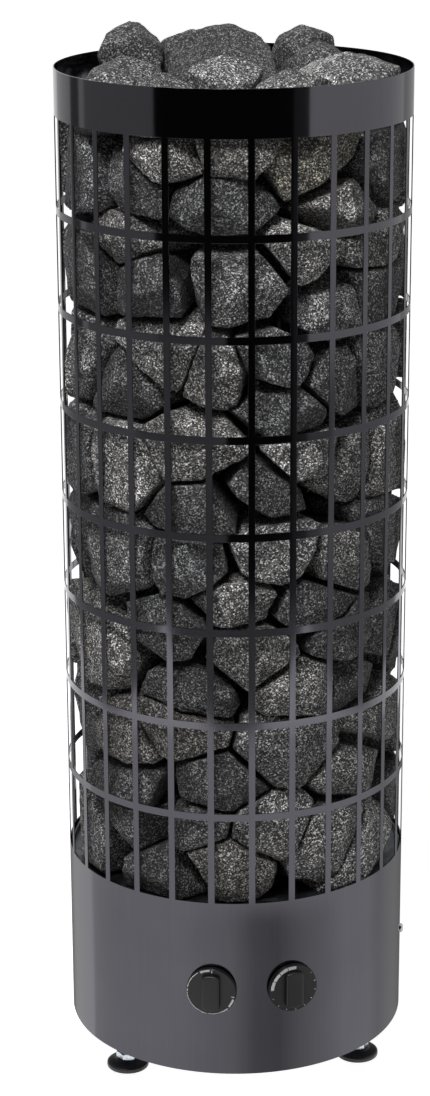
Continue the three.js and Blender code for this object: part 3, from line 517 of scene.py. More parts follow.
def moulded_plastic(name, dark, light, roughness, grain_mm):
    """Moulded plastic or rubber with the grain of its spark-eroded mould: a soft sheen, or hardly any on
    rubber, broken up by fine pits. The grain is drawn as coarse as it needs to be to show."""
    material, tree, shader, place = new_material(name)
    shader.inputs["IOR"].default_value = 1.5
    grain = add_node(tree, NOISE, place, inputs={"Scale": 1 / grain_mm, "Detail": 3.0})
    colour = add_node(tree, RAMP, grain, stops=[(0.3, dark), (0.7, light)])
    gloss = add_node(tree, MAP_RANGE, grain, 0, 1, roughness - 0.06, roughness + 0.06)
    relief = add_node(tree, BUMP, inputs={"Height": grain, "Distance": 0.03 * MM})
    drive(tree, shader, colour, gloss, relief)
    return material


def dial_print():
    """White pad-printed ink: matt, and thin enough to show a trace of the plastic in specks of about
    0.8 mm."""
    material, tree, shader, place = new_material("dial_print")
    shader.inputs["Roughness"].default_value = 0.55
    wear = add_node(tree, NOISE, place, inputs={"Scale": 1.2, "Detail": 3.0})
    colour = add_node(tree, RAMP, wear, stops=[(0.25, "#b9b9bd"), (0.6, "#e6e6e8")])
    drive(tree, shader, colour)
    return material


def sauna_stone():
    """Crushed dark igneous rock: black, grey and pale mineral grains packed evenly, broken rough, in
    patches of 20 mm and with pits of 2.8 mm. The grains are drawn about 1.1 mm wide, as coarse as they
    need to be to show."""
    material, tree, shader, place = new_material("sauna_stone")
    tone = add_node(tree, "ShaderNodeAttribute", attribute_name="stone_tone")
    grains = add_node(tree, "ShaderNodeTexVoronoi", place, inputs={"Scale": 1 / 1.1})
    grain = add_node(tree, "ShaderNodeSeparateColor", grains.outputs["Color"])
    minerals = [
        (0.0, "#101010"),
        (0.3, "#262627"),
        (0.55, "#484849"),
        (0.8, "#7a7a7a"),
        (1.0, "#d8d8d6"),
    ]
    speckle = add_node(tree, RAMP, grain, stops=minerals)
    cloud = add_node(tree, NOISE, place, inputs={"Scale": 1 / 20, "Detail": 5.0})
    patch = add_node(tree, MAP_RANGE, cloud, 0.25, 0.75, 0.75, 1.25)
    shaded = add_node(tree, VECTOR_MATH, speckle, inputs={"Scale": patch}, operation="SCALE")
    tinted = add_node(tree, VECTOR_MATH, shaded, tone, operation="MULTIPLY")
    dullness = add_node(tree, MAP_RANGE, grain.outputs[1], 0, 1, 0.6, 0.95)
    pits = add_node(tree, NOISE, place, inputs={"Scale": 1 / 2.8, "Detail": 6.0, "Roughness": 0.65})
    relief = add_node(tree, BUMP, inputs={"Height": pits, "Distance": 1.4 * MM})
    drive(tree, shader, tinted, dullness, relief)
    return material


def painted_reflection_card():
    """Grey card that glows in the grey of each point: a painted reflection of a lit studio wall."""
    material = bpy.data.materials.new("painted_reflection_card")
    material.use_nodes = True
    tree = material.node_tree
    tree.nodes.clear()
    grey = add_node(tree, "ShaderNodeAttribute", attribute_name="grey").outputs["Fac"]
    glow = add_node(tree, "ShaderNodeEmission", (1, 1, 1, 1), grey)
    add_node(tree, "ShaderNodeOutputMaterial", glow)
    return material


STEEL = graphite_steel()
ZINC = zinc_plate()
ROCK = sauna_stone()
KNOB_PLASTIC = moulded_plastic("knob_plastic", "#0d0d0f", "#17171a", 0.38, 0.5)
PAD_PLASTIC = moulded_plastic("pad_plastic", "#0b0b0c", "#161617", 0.42, 0.6)
PRINT = dial_print()
PAINTED_REFLECTION_CARD = painted_reflection_card()
CARRIED_FINISHES = {
    "galvanised_sheet": galvanised_sheet(),
    "zinc_plate": ZINC,
    "control_plastic": moulded_plastic("control_plastic", "#c9c5b8", "#dcd8cc", 0.5, 0.6),
    "sensor_copper": drawn_copper(),
    "element_steel": element_steel(),
    "grommet_rubber": moulded_plastic("grommet_rubber", "#141414", "#1f1f1f", 0.75, 0.8),
    "knob_plastic": KNOB_PLASTIC,
    "pad_plastic": PAD_PLASTIC,
    "graphite_steel": STEEL,
    "sauna_stone": ROCK,
}


# Meshes


def put(name, data):
    """A new object in the scene."""
    thing = bpy.data.objects.new(name, data)
    bpy.context.scene.collection.objects.link(thing)
    return thing


def new_piece(name, mesh, material):
    mesh.materials.clear()
    mesh.materials.append(material)
    return put(name, mesh)


def settle(piece, body, slot, *nodes):
    """Hands a finished piece to its body and hides the nodes that it stands for. Its slot is not used."""
    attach(piece, body)
    if nodes:
        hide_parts(*nodes)


def shade(mesh, sharp_degrees=SHARP_ANGLE):
    mesh.shade_smooth()
    mesh.set_sharp_from_angle(angle=math.radians(sharp_degrees))


def evaluated_mesh(piece):
    """The piece's mesh with its modifiers worked out."""
    depsgraph = bpy.context.evaluated_depsgraph_get()
    depsgraph.update()
    return bpy.data.meshes.new_from_object(piece.evaluated_get(depsgraph), depsgraph=depsgraph)


def apply_modifiers(piece):
    mesh = evaluated_mesh(piece)
    piece.modifiers.clear()
    old = piece.data
    piece.data = mesh
    bpy.data.meshes.remove(old)


def add_bevel(piece, width, steps):
    edge = piece.modifiers.new("edge", "BEVEL")
    edge.width = width * MM
    edge.segments = steps
    edge.limit_method = "ANGLE"
    edge.angle_limit = math.radians(BEVEL_ANGLE)


def add_boolean(piece, tool, operation):
    modifier = piece.modifiers.new("boolean", "BOOLEAN")
    modifier.operation = operation
    modifier.object = tool
    modifier.solver = "EXACT"


def add_ring(shape, radii, height):
    """A ring of points round the axis at one height, one for each radius."""
    ring = []
    for i, radius in enumerate(radii):
        turn = 2 * math.pi * i / len(radii)
        x = radius * math.cos(turn) * MM
        y = radius * math.sin(turn) * MM
        ring.append(shape.verts.new((x, y, height * MM)))
    return ring


def add_skin(shape, rings):
    """The faces between each ring of points and the next, which may be a single point."""
    for one, two in zip(rings, rings[1:]):
        sides = max(len(one), len(two))
        for i in range(sides):
            j = (i + 1) % sides
            corners = [one[i % len(one)], one[j % len(one)], two[j % len(two)], two[i % len(two)]]
            distinct = list(dict.fromkeys(corners))
            if len(distinct) > 2:
                shape.faces.new(distinct)


def turned(profile, sides):
    """A closed turned mesh: the profile is (radius, height) in millimetres, from the axis back to it."""
    shape = bmesh.new()
    rings = [add_ring(shape, [radius] * sides if radius else [0], height) for radius, height in profile]
    add_skin(shape, rings)
    bmesh.ops.recalc_face_normals(shape, faces=shape.faces)
    return shape


def mesh_from(shape, name):
    mesh = bpy.data.meshes.new(name)
    shape.to_mesh(mesh)
    shape.free()
    return mesh


def rounded(profile, radius, steps=CORNER_STEPS):
    """The profile with each inner corner replaced by an arc of about that radius."""
    points = [Vector(p) for p in profile]
    result = [points[0]]
    for before, corner, after in zip(points, points[1:], points[2:]):
        back = before - corner
        ahead = after - corner
        trim = min(radius, back.length / CORNER_SHARE, ahead.length / CORNER_SHARE)
        start = corner + back.normalized() * trim
        end = corner + ahead.normalized() * trim
        for i in range(steps + 1):
            t = i / steps
            result.append(start * (1 - t) ** 2 + corner * 2 * t * (1 - t) + end * t ** 2)
    result.append(points[-1])
    return [(p.x, p.y) for p in result]


def wall_matrix(angle, level):
    """A frame on the wall: Z points straight out, Y up."""
    out = Vector(around(1, angle))
    up = Vector((0, 0, 1))
    side = up.cross(out)
    place = Matrix((side, up, out)).transposed().to_4x4()
    place.translation = Vector(around(SHELL_RADIUS, angle, level)) * MM
    return place


def tree_inputs(tree, sizes):
    """Named number inputs of a geometry tree, and the node that gives them."""
    for name in sizes:
        tree.interface.new_socket(name, in_out="INPUT", socket_type="NodeSocketFloat")
    tree.interface.new_socket("Geometry", in_out="OUTPUT", socket_type="NodeSocketGeometry")
    return add_node(tree, "NodeGroupInput").outputs


def finish_tree(tree, geometry, material):
    real = add_node(tree, "GeometryNodeRealizeInstances", geometry)
    painted = add_node(tree, "GeometryNodeSetMaterial", real, inputs={"Material": material})
    add_node(tree, "NodeGroupOutput", painted)


def grown(name, mesh, tree, sizes):
    """The plain mesh that a geometry tree makes out of a mesh."""
    seed = put(name, mesh)
    modifier = seed.modifiers.new("grow", "NODES")
    modifier.node_group = tree
    for socket in tree.interface.items_tree:
        if socket.in_out == "INPUT" and socket.name in sizes:
            modifier[socket.identifier] = float(sizes[socket.name])
    result = evaluated_mesh(seed)
    bpy.data.objects.remove(seed)
    return result


# Shell


def without_windows(tree, grid, column, row):
    """The grid with its windows cut out: the faces that lie past a bar and past a ring."""
    in_pitch = add_node(tree, MATH, column, STEPS_PER_BAR, operation="MODULO")
    past_bar = add_node(tree, MATH, in_pitch, BAR_STEPS, operation="GREATER_THAN")
    in_course = add_node(tree, MATH, row, 2, operation="MODULO")
    past_ring = add_node(tree, MATH, in_course, 1, operation="GREATER_THAN")
    is_window = add_node(tree, MATH, past_bar, past_ring, operation="MULTIPLY")
    return add_node(tree, "GeometryNodeDeleteGeometry", grid, is_window, domain="FACE")


def column_turn(tree, given, column):
    """The angle of each column round the axis: even steps across a bar, then across the gap past it."""
    whole_column = add_node(tree, MATH, column, operation="ROUND")
    step = add_node(tree, MATH, whole_column, STEPS_PER_BAR, operation="MODULO")
    before = add_node(tree, MATH, whole_column, step, operation="SUBTRACT")
    bar = add_node(tree, MATH, before, STEPS_PER_BAR, operation="DIVIDE")
    half = given["Bar half turn"]
    other_half = add_node(tree, MATH, half, -1, operation="MULTIPLY")
    gap = add_node(tree, MATH, half, -2, given["Bar pitch"], operation="MULTIPLY_ADD")
    on_bar = add_node(tree, MAP_RANGE, step, 0, BAR_STEPS, other_half, half)
    past_it = add_node(tree, MAP_RANGE, step, BAR_STEPS, STEPS_PER_BAR, 0, gap)
    to_bar = add_node(tree, MATH, bar, given["Bar pitch"], on_bar, operation="MULTIPLY_ADD")
    return add_node(tree, MATH, to_bar, past_it, operation="ADD")


def row_level(tree, given, row, rows):
    """The height of each row: the foot of the shell, both edges of each course of windows, the rim."""
    whole_row = add_node(tree, MATH, row, operation="ROUND")
    above = add_node(tree, MATH, whole_row, 1, operation="SUBTRACT")
    over = add_node(tree, MATH, above, 2, operation="MODULO")
    rings = add_node(tree, MATH, above, over, operation="SUBTRACT")
    half_pitch = add_node(tree, MATH, given["Row pitch"], 0.5, operation="MULTIPLY")
    course_level = add_node(tree, MATH, rings, half_pitch, given["Lattice"], operation="MULTIPLY_ADD")
    level = add_node(tree, MATH, over, given["Window"], course_level, operation="MULTIPLY_ADD")
    is_foot = add_node(tree, MATH, whole_row, 0.5, operation="LESS_THAN")
    is_rim = add_node(tree, MATH, whole_row, rows, 0.5, operation="COMPARE")
    from_foot = add_node(tree, "GeometryNodeSwitch", is_foot, level, given["Low"], input_type="FLOAT")
    return add_node(tree, "GeometryNodeSwitch", is_rim, from_foot, given["Rim"], input_type="FLOAT")


def with_wall(tree, outer, thickness):
    """The rolled sheet with its inner side and the edges between."""
    inward = add_node(tree, MATH, thickness, -1, operation="MULTIPLY")
    walls = add_node(
        tree, "GeometryNodeExtrudeMesh", outer, inputs={"Offset Scale": inward, "Individual": False},
    )
    turned_in = add_node(tree, "GeometryNodeFlipFaces", walls)
    joined = add_node(tree, "GeometryNodeJoinGeometry", turned_in)
    tree.links.new(outer.outputs[0], joined.inputs[0])
    return add_node(tree, "GeometryNodeMergeByDistance", joined, inputs={"Distance": WELD * MM})


def shell_tree(sizes):
    """A flat grid whose columns become bars and windows and whose rows become bands and rings, rolled
    into a tube and given its wall."""
    tree = bpy.data.node_groups.new("lattice_shell", "GeometryNodeTree")
    given = tree_inputs(tree, sizes)
    columns = add_node(tree, MATH, given["Bars"], STEPS_PER_BAR, operation="MULTIPLY")
    rows = add_node(tree, MATH, given["Rows"], 2, 1, operation="MULTIPLY_ADD")
    across = add_node(tree, MATH, columns, 1, operation="ADD")
    upward = add_node(tree, MATH, rows, 1, operation="ADD")
    grid = add_node(tree, "GeometryNodeMeshGrid", columns, rows, across, upward)
    place = add_node(tree, "ShaderNodeSeparateXYZ", add_node(tree, "GeometryNodeInputPosition"))
    column = add_node(tree, MATH, columns, 0.5, place.outputs["X"], operation="MULTIPLY_ADD")
    row = add_node(tree, MATH, rows, 0.5, place.outputs["Y"], operation="MULTIPLY_ADD")
    sheet = without_windows(tree, grid, column, row)
    turn = column_turn(tree, given, column)
    in_front = add_node(tree, MATH, given["Radius"], -1, operation="MULTIPLY")
    flat_place = add_node(tree, "ShaderNodeCombineXYZ", 0, in_front, row_level(tree, given, row, rows))
    rolled_place = add_node(
        tree, "ShaderNodeVectorRotate", flat_place, inputs={"Angle": turn}, rotation_type="Z_AXIS",
    )
    rolled = add_node(tree, "GeometryNodeSetPosition", sheet, inputs={"Position": rolled_place})
    outer = add_node(tree, "GeometryNodeMergeByDistance", rolled, inputs={"Distance": WELD * MM})
    finish_tree(tree, with_wall(tree, outer, given["Wall"]), STEEL)
    return tree


def wall_cutter(radius, angle, level, sides):
    """A round bar through the wall, which cuts a hole."""
    ends = [(0, -CUTTER_REACH), (radius, -CUTTER_REACH), (radius, CUTTER_REACH), (0, CUTTER_REACH)]
    mesh = mesh_from(turned(ends, sides), "wall_cutter")
    mesh.transform(wall_matrix(angle, level))
    return put("wall_cutter", mesh)


def control_level(control):
    """The height of a dial's axis, by its joint."""
    joint = next(j for j in frame["joints"] if j["name"] == f"{control}_turn")
    return joint["pos_m"][2] / MM


def roll_normals(mesh):
    """Points the normals of the rolled wall straight out from the axis, or straight in inside it."""
    mesh.shade_smooth()
    normals = []
    for face in mesh.polygons:
        outward = Vector((face.center.x, face.center.y, 0)).normalized().dot(face.normal)
        for corner in face.vertices:
            place = mesh.vertices[corner].co
            radial = Vector((place.x, place.y, 0)).normalized() * outward
            normals.append(radial.normalized() if abs(outward) > ROLLED_FACE else face.normal)
    mesh.normals_split_custom_set(normals)


def make_shell():
    sizes = {
        "Radius": SHELL_RADIUS * MM,
        "Wall": SHELL_WALL * MM,
        "Low": SHELL_LOW * MM,
        "Lattice": LATTICE_LEVEL * MM,
        "Rim": RIM_LEVEL * MM,
        "Window": WINDOW_HEIGHT * MM,
        "Row pitch": ROW_PITCH * MM,
        "Rows": WINDOW_ROWS,
        "Bars": BAR_COUNT,
        "Bar pitch": math.radians(BAR_PITCH),
        "Bar half turn": math.asin(BAR_WIDTH / 2 / SHELL_RADIUS),
    }
    sheet = grown("lattice_shell", bpy.data.meshes.new("sheet"), shell_tree(sizes), sizes)
    shell = new_piece("lattice_shell", sheet, STEEL)
    cutters = []
    for control, side in DIAL_SIDES.items():
        level = control_level(control)
        cutters.append(wall_cutter(KNOB_HOLE_RADIUS, side * BAR_PITCH, level, KNOB_FLATS))
    for angle in SCREW_ANGLES:
        cutters.append(wall_cutter(SCREW_HOLE_RADIUS, angle, SCREW_LEVEL, SCREW_HOLE_SIDES))
    for cutter in cutters:
        add_boolean(shell, cutter, "DIFFERENCE")
    add_bevel(shell, SHEET_EDGE_ROUND, SHEET_EDGE_STEPS)
    apply_modifiers(shell)
    for cutter in cutters:
        bpy.data.objects.remove(cutter)
    roll_normals(shell.data)
    settle(shell, "heater", "graphite_steel", "outer_shell")


# Stones


class Draws:
    """The same run of numbers that lays out the solid stones."""

    def __init__(self, seed):
        self.state = seed

    def between(self, low, high):
        self.state = (self.state * DRAW_FACTOR + DRAW_STEP) % DRAW_RANGE
        return low + (high - low) * self.state / DRAW_RANGE


class Stone:
    """A stone by its middle. An outer one lies at the shell, and one with a width lies on the heap."""

    def __init__(self, angle, seed, bulk=0, outer=False, width=0, height=0):
        self.angle = angle
        self.seed = np.array(seed, float)
        self.bulk = bulk
        self.outer = outer
        self.width = width
        self.height = height
        self.planes = []
        self.tone = None
        self.chip_depth = FULL_CHIP_DEPTH
        self.shrink = None
        self.fill = 0
        self.has_roof = bool(width)


def course_stones(course, draws):
    middle = LATTICE_LEVEL + course * ROW_PITCH + WINDOW_HEIGHT / 2
    places = list(FRONT_STONES[course])
    for i in range(BACK_STONES):
        turn_sway = draws.between(-BACK_TURN_SWAY, BACK_TURN_SWAY)
        rise = draws.between(-BACK_RISE_SWAY, BACK_RISE_SWAY)
        places.append([BACK_FIRST + i * BACK_STEP + turn_sway, rise])
    stones = []
    for angle, rise, *bulk in places:
        radius = STONE_BED_RADIUS - STONE_DEPTH + draws.between(-STONE_SWAY, STONE_SWAY)
        seed = around(radius, angle, middle + rise)
        stone = Stone(angle, seed, bulk[0] if bulk else 0, outer=True)
        if (course, angle) == WARM_STONE:
            stone.tone = WARM_TONE
        from_front = min(angle % 360, -angle % 360)
        in_front = from_front < SIDE_ANGLES[0]
        stone.chip_depth = FRONT_CHIP_DEPTH if in_front else SIDE_CHIP_DEPTH
        stone.shrink = FRONT_SHRINK if in_front else SIDE_SHRINK
        stone.fill = SIDE_FILL if SIDE_ANGLES[0] <= from_front <= SIDE_ANGLES[1] else 0
        stones.append(stone)
    sway = draws.between(-CORE_SWAY, CORE_SWAY)
    core = around(CORE_SWAY, draws.between(0, 360), middle + sway)
    return stones + [Stone(0, core)]


def top_stone(angle, radius, peak, width, height):
    return Stone(angle, around(radius, angle, RIM_LEVEL + peak - height / 2), width=width, height=height)


def top_stones():
    stones = []
    for angle, inset, peak, width in TOP_STONES:
        stones.append(top_stone(angle, STONE_BED_RADIUS - inset, peak, width, TOP_STONE_HEIGHT))
    stones.append(top_stone(**MIDDLE_STONE))
    for stone, tone in zip(stones, HEAP_TONES):
        stone.tone = (tone, tone, tone)
    return stones


def dividing_plane(stone, other):
    """The plane between two stones, nearer to the less bulky one, where stones lie flat."""
    normal = other.seed - stone.seed
    normal[2] *= STONE_FLATNESS ** 2
    length = np.linalg.norm(normal)
    normal /= length
    lean = (stone.bulk ** 2 - other.bulk ** 2) / (2 * length)
    return normal, normal @ (stone.seed + other.seed) / 2 + lean - FIT_GAP / 2


def element_planes(stone):
    """Planes that keep a stone off the tubes of the heating elements."""
    step = 360 / ELEMENT_COUNT
    half_chord = ELEMENT_CIRCLE * math.sin(math.radians(step / 4))
    bend = ELEMENT_TOP - half_chord
    planes = []
    for i in range(ELEMENT_COUNT):
        legs = [around(ELEMENT_CIRCLE, i * step + side * step / 4) for side in (-1, 1)]
        for leg in legs:
            normal = (leg - stone.seed) * (1, 1, 0)
            normal /= np.linalg.norm(normal)
            if stone.seed[2] - STONE_REACH < bend:
                planes.append((normal, normal @ leg - ELEMENT_KEEP_OFF))
        for j in range(ELEMENT_BEND_STEPS + 1):
            turn = math.pi * j / ELEMENT_BEND_STEPS
            share = (1 - math.cos(turn)) / 2
            point = legs[0] * (1 - share) + legs[1] * share
            point[2] = bend + half_chord * math.sin(turn)
            normal = point - stone.seed
            normal /= np.linalg.norm(normal)
            planes.append((normal, normal @ point - 2 * ELEMENT_KEEP_OFF))
    return planes


def face_planes(stone, draws):
    """Three broken faces round the outward direction."""
    out = around(1, stone.angle)
    side = around(1, stone.angle + 90)
    first = draws.between(0, 2 * math.pi)
    planes = []
    for i in range(FACE_COUNT):
        turn = first + i * 2 * math.pi / FACE_COUNT + draws.between(-FACE_TURN_SWAY, FACE_TURN_SWAY)
        normal = out + side * FACE_SPREAD * math.cos(turn)
        normal[2] = FACE_SPREAD * math.sin(turn)
        normal /= np.linalg.norm(normal)
        planes.append((normal, normal @ stone.seed + draws.between(*FACE_REACH) + stone.fill))
    return planes


def loose_planes(stone, draws):
    """Broken faces all over a loose stone, spread evenly and then swayed."""
    planes = []
    for i in range(TOP_FACES):
        z = 1 - (2 * i + 1) / TOP_FACES + draws.between(-TOP_TILT_SWAY, TOP_TILT_SWAY)
        turn = i * GOLDEN_TURN + draws.between(-TOP_TURN_SWAY, TOP_TURN_SWAY)
        flat = math.sqrt(max(0, 1 - z * z))
        normal = np.array([flat * math.cos(turn), flat * math.sin(turn), z])
        normal /= np.linalg.norm(normal)
        across = np.linalg.norm(normal * (stone.width, stone.width, stone.height))
        planes.append((normal, normal @ stone.seed + across / 2 * draws.between(TOP_LOOSE, 1)))
    return planes


def room_planes(stone, stones, draws):
    """The planes round the room that a stone has between its neighbours."""
    planes = [(np.array([0, 0, -1.0]), -STONE_FLOOR)]
    for i in (-1, 0, 1):
        planes.append((around(1, stone.angle + i * 360 / WALL_FACETS), STONE_BED_RADIUS))
    planes += element_planes(stone)
    for other in stones:
        if other is not stone and np.linalg.norm(other.seed - stone.seed) < NEIGHBOUR_REACH:
            planes.append(dividing_plane(stone, other))
    if stone.width:
        planes += loose_planes(stone, draws)
    elif stone.outer:
        planes += face_planes(stone, draws)
    return planes


def sphere_mesh(detail):
    shape = bmesh.new()
    bmesh.ops.create_icosphere(shape, subdivisions=detail, radius=1)
    shape.verts.ensure_lookup_table()
    points = np.array([v.co for v in shape.verts])
    points /= np.linalg.norm(points, axis=1)[:, None]
    faces = np.array([[v.index for v in f.verts] for f in shape.faces])
    shape.free()
    return points, faces


def reach(directions, normals, limits, sharpness):
    """How far each direction goes before the planes, rounded off where they meet."""
    share = np.maximum(directions @ normals.T, 0) / limits
    largest = share.max(axis=1)
    return 1 / (largest * ((share / largest[:, None]) ** sharpness).sum(axis=1) ** (1 / sharpness))


def slope_middle_stone(stone):
    """Puts the peak and the slopes of the middle stone in place of its upper faces."""
    peak = np.array(MIDDLE_PEAK) + (0, 0, RIM_LEVEL)
    stone.planes = [plane for plane in stone.planes if plane[0][2] < UPPER_FACE]
    for direction, slope in MIDDLE_SLOPES:
        tilt = math.radians(slope)
        normal = around(math.sin(tilt), direction, math.cos(tilt))
        stone.planes.append((normal, normal @ peak))
    stone.has_roof = False


def roof_normals(stone, chips):
    """The broken faces that slope down from the peak of a loose stone."""
    tilts = math.atan2(stone.height, stone.width) * chips.uniform(*ROOF_STEEPNESS, size=ROOF_FACES)
    turns = chips.uniform(0, 2 * math.pi) + np.arange(ROOF_FACES) * 2 * math.pi / ROOF_FACES
    turns += chips.uniform(-ROOF_TURN_SWAY, ROOF_TURN_SWAY, size=ROOF_FACES)
    flat = np.sin(tilts)
    return np.column_stack([flat * np.cos(turns), flat * np.sin(turns), np.cos(tilts)])


def chip_planes(stone, corners, chips):
    """The faces that break corners off a stone, less deep where they look out through the shell."""
    normals = chips.normal(size=(CHIP_COUNT, 3))
    normals /= np.linalg.norm(normals, axis=1)[:, None]
    depth = chips.uniform(*stone.chip_depth, size=CHIP_COUNT)
    if stone.outer:
        faces_out = normals @ around(1, stone.angle) > OUTWARD_CHIP
        depth = np.where(faces_out, np.maximum(depth, OUTWARD_DEPTH), depth)
    return normals, (corners @ normals.T).max(axis=0) * depth


def face_paleness(share, chips):
    """How pale each point is, by the face that it lies on, and paler along the ridges between faces: partly the
    paleness of crushed edges, partly a painted highlight.
    """
    paleness = chips.uniform(*FACET_TONES, size=share.shape[1])[share.argmax(axis=1)]
    second, largest = np.partition(share, -2, axis=1)[:, -2:].T
    return paleness * np.interp(second / largest, (RIDGE_START, 1), (1, RIDGE_TONE))


def rough_heights(points, chips):
    """How far the broken surface stands out at each point, in millimetres."""
    offset = Vector(chips.uniform(-ROUGH_SPREAD, ROUGH_SPREAD, size=3))
    heights = []
    for point in points:
        place = Vector(point) / ROUGH_SPACING + offset
        heights.append(noise.fractal(place, ROUGH_FALL, ROUGH_STEP, ROUGH_OCTAVES))
    return ROUGH_HEIGHT * (np.array(heights) - ROUGH_MIDDLE)


def lump(stone, directions, chips):
    """A broken lump that fills the stone's room: flat faces, chipped corners and a rough surface, with
    how pale each point is."""
    normals = np.array([normal for normal, _ in stone.planes])
    limits = np.array([limit for _, limit in stone.planes])
    first = reach(directions, normals, limits - normals @ stone.seed, HARD_EDGE)
    lean = (directions * first[:, None] ** 4).sum(axis=0) / (first ** 3).sum()
    centre = stone.seed + CENTRE_SHARE * lean
    room = limits - normals @ centre
    corners = directions * reach(directions, normals, room, HARD_EDGE)[:, None]
    chip_normals, chip_limits = chip_planes(stone, corners, chips)
    roof = roof_normals(stone, chips) if stone.has_roof else np.empty((0, 3))
    peak = corners[directions[:, 2].argmax()]
    faces = np.vstack([normals, chip_normals, roof])
    face_limits = np.concatenate([room, chip_limits, roof @ peak])
    distance = reach(directions, faces, face_limits, EDGE_SHARPNESS)
    paleness = face_paleness(directions @ faces.T / face_limits, chips)
    rough = rough_heights(directions * distance[:, None], chips)
    points = centre + directions * (distance + rough)[:, None]
    if stone.shrink:
        touch = points[(points @ around(1, stone.angle)).argmax()]
        points = touch + (points - touch) * chips.uniform(*stone.shrink)
    return points, paleness


def stones_mesh(name, stones, sphere, chips):
    """One mesh of broken stones, with the tone of each point as an attribute."""
    directions, faces = sphere
    lumps = [lump(stone, directions, chips) for stone in stones]
    points = np.vstack([place for place, _ in lumps]) * MM
    paleness = np.concatenate([pale for _, pale in lumps])
    corners = np.vstack([faces + i * len(directions) for i in range(len(stones))])
    mesh = bpy.data.meshes.new(name)
    mesh.vertices.add(len(points))
    mesh.vertices.foreach_set("co", points.ravel())
    mesh.loops.add(corners.size)
    mesh.loops.foreach_set("vertex_index", corners.ravel())
    mesh.polygons.add(len(corners))
    mesh.polygons.foreach_set("loop_start", np.arange(0, corners.size, 3))
    mesh.polygons.foreach_set("loop_total", np.full(len(corners), 3))
    mesh.update(calc_edges=True)
    tones = [stone.tone or STONE_TONES[chips.integers(len(STONE_TONES))] for stone in stones]
    colours = np.repeat([[*tone, 1.0] for tone in tones], len(directions), axis=0)
    colours[:, :3] *= paleness[:, None]
    attribute = mesh.attributes.new("stone_tone", "FLOAT_COLOR", "POINT")
    attribute.data.foreach_set("color", colours.ravel())
    mesh.shade_smooth()
    return mesh


def make_stones():
    draws = Draws(STONE_SEED)
    courses = [course_stones(course, draws) for course in range(WINDOW_ROWS)]
    loose = top_stones()
    stones = [stone for course in courses for stone in course] + loose
    for stone in stones:
        stone.planes = room_planes(stone, stones, draws)
    slope_middle_stone(loose[-1])
    chips = np.random.default_rng(STONE_SEED)
    sphere = sphere_mesh(LUMP_DETAIL)
    groups = [(f"packed_stones_{i}", f"stone_course_{i}", course) for i, course in enumerate(courses, 1)]
    groups += [(f"loose_stone_{i}", f"top_stone_{i}", [stone]) for i, stone in enumerate(loose, 1)]
    for name, node, group in groups:
        piece = new_piece(name, stones_mesh(name, group, sphere, chips), ROCK)
        settle(piece, "heater", "sauna_stone", node)


# Dials


def grip_shape():
    """The bar of a dial: straight sides, ends that follow the skirt."""
    half = GRIP_WIDTH / 2
    lean = math.asin(half / GRIP_REACH)
    outline = []
    for end in (0, math.pi):
        for i in range(GRIP_END_STEPS + 1):
            turn = end + math.pi / 2 - lean + 2 * lean * i / GRIP_END_STEPS
            outline.append((GRIP_REACH * math.cos(turn), GRIP_REACH * math.sin(turn)))
    shape = bmesh.new()
    low = KNOB_FRONT - GRIP_SINK
    verts = [shape.verts.new((x * MM, y * MM, low * MM)) for x, y in outline]
    base = shape.faces.new(verts)
    raised = bmesh.ops.extrude_face_region(shape, geom=[base])
    moved = [v for v in raised["geom"] if isinstance(v, bmesh.types.BMVert)]
    bmesh.ops.translate(shape, vec=(0, 0, (GRIP_HEIGHT + GRIP_SINK) * MM), verts=moved)
    bmesh.ops.recalc_face_normals(shape, faces=shape.faces)
    return shape


def make_dial_knob(name, place, body, node):
    profile = [
        (0, BORE_END),
        (SPINDLE_BORE, BORE_END),
        (SPINDLE_BORE, -HUB_TAIL),
        (HUB_RADIUS, -HUB_TAIL),
        (HUB_RADIUS, KNOB_STANDOFF + SKIRT_DEPTH / 2),
        (KNOB_RADIUS - SKIRT_ROUND, KNOB_STANDOFF),
        (KNOB_RADIUS, KNOB_STANDOFF + SKIRT_ROUND),
        (KNOB_RADIUS - SKIRT_TAPER, KNOB_FRONT),
        (0, KNOB_FRONT),
    ]
    skirt = mesh_from(turned(rounded(profile, SKIRT_ROUND), KNOB_FLATS), name)
    grip = put("grip", mesh_from(grip_shape(), "grip"))
    add_bevel(grip, GRIP_ROUND, GRIP_ROUND_STEPS)
    knob = new_piece(name, skirt, KNOB_PLASTIC)
    add_boolean(knob, grip, "UNION")
    apply_modifiers(knob)
    bpy.data.objects.remove(grip)
    knob.data.transform(place)
    shade(knob.data)
    settle(knob, body, "knob_plastic", node)


def add_arc(shape, first, last, inner, outer):
    """A printed arc on the skirt, in degrees clockwise from the top and in millimetres."""
    steps = max(2, int(abs(last - first) / MARK_STEP))
    low = KNOB_FRONT * MM
    high = low + PRINT_HEIGHT * MM
    sections = []
    for i in range(steps + 1):
        turn = math.radians(first + (last - first) * i / steps)
        section = []
        for radius, z in ((inner, low), (outer, low), (outer, high), (inner, high)):
            x = radius * math.sin(turn) * MM
            y = radius * math.cos(turn) * MM
            section.append(shape.verts.new((x, y, z)))
        sections.append(section)
    add_skin(shape, sections)
    shape.faces.new(sections[0])
    shape.faces.new(sections[-1])


def add_numeral(shape, text, angle, radius):
    """A printed number that stands upright along its radius."""
    curve = bpy.data.curves.new("numeral", "FONT")
    curve.body = text
    curve.size = NUMERAL_HEIGHT * MM
    curve.align_x = "CENTER"
    curve.align_y = "CENTER"
    curve.extrude = PRINT_HEIGHT / 2 * MM
    holder = put("numeral", curve)
    mesh = evaluated_mesh(holder)
    bpy.data.objects.remove(holder)
    turn = Matrix.Rotation(-math.radians(angle), 4, "Z")
    place = Matrix.Translation((0, radius * MM, (KNOB_FRONT + PRINT_HEIGHT / 2) * MM))
    mesh.transform(turn @ place)
    shape.from_mesh(mesh)
    bpy.data.meshes.remove(mesh)


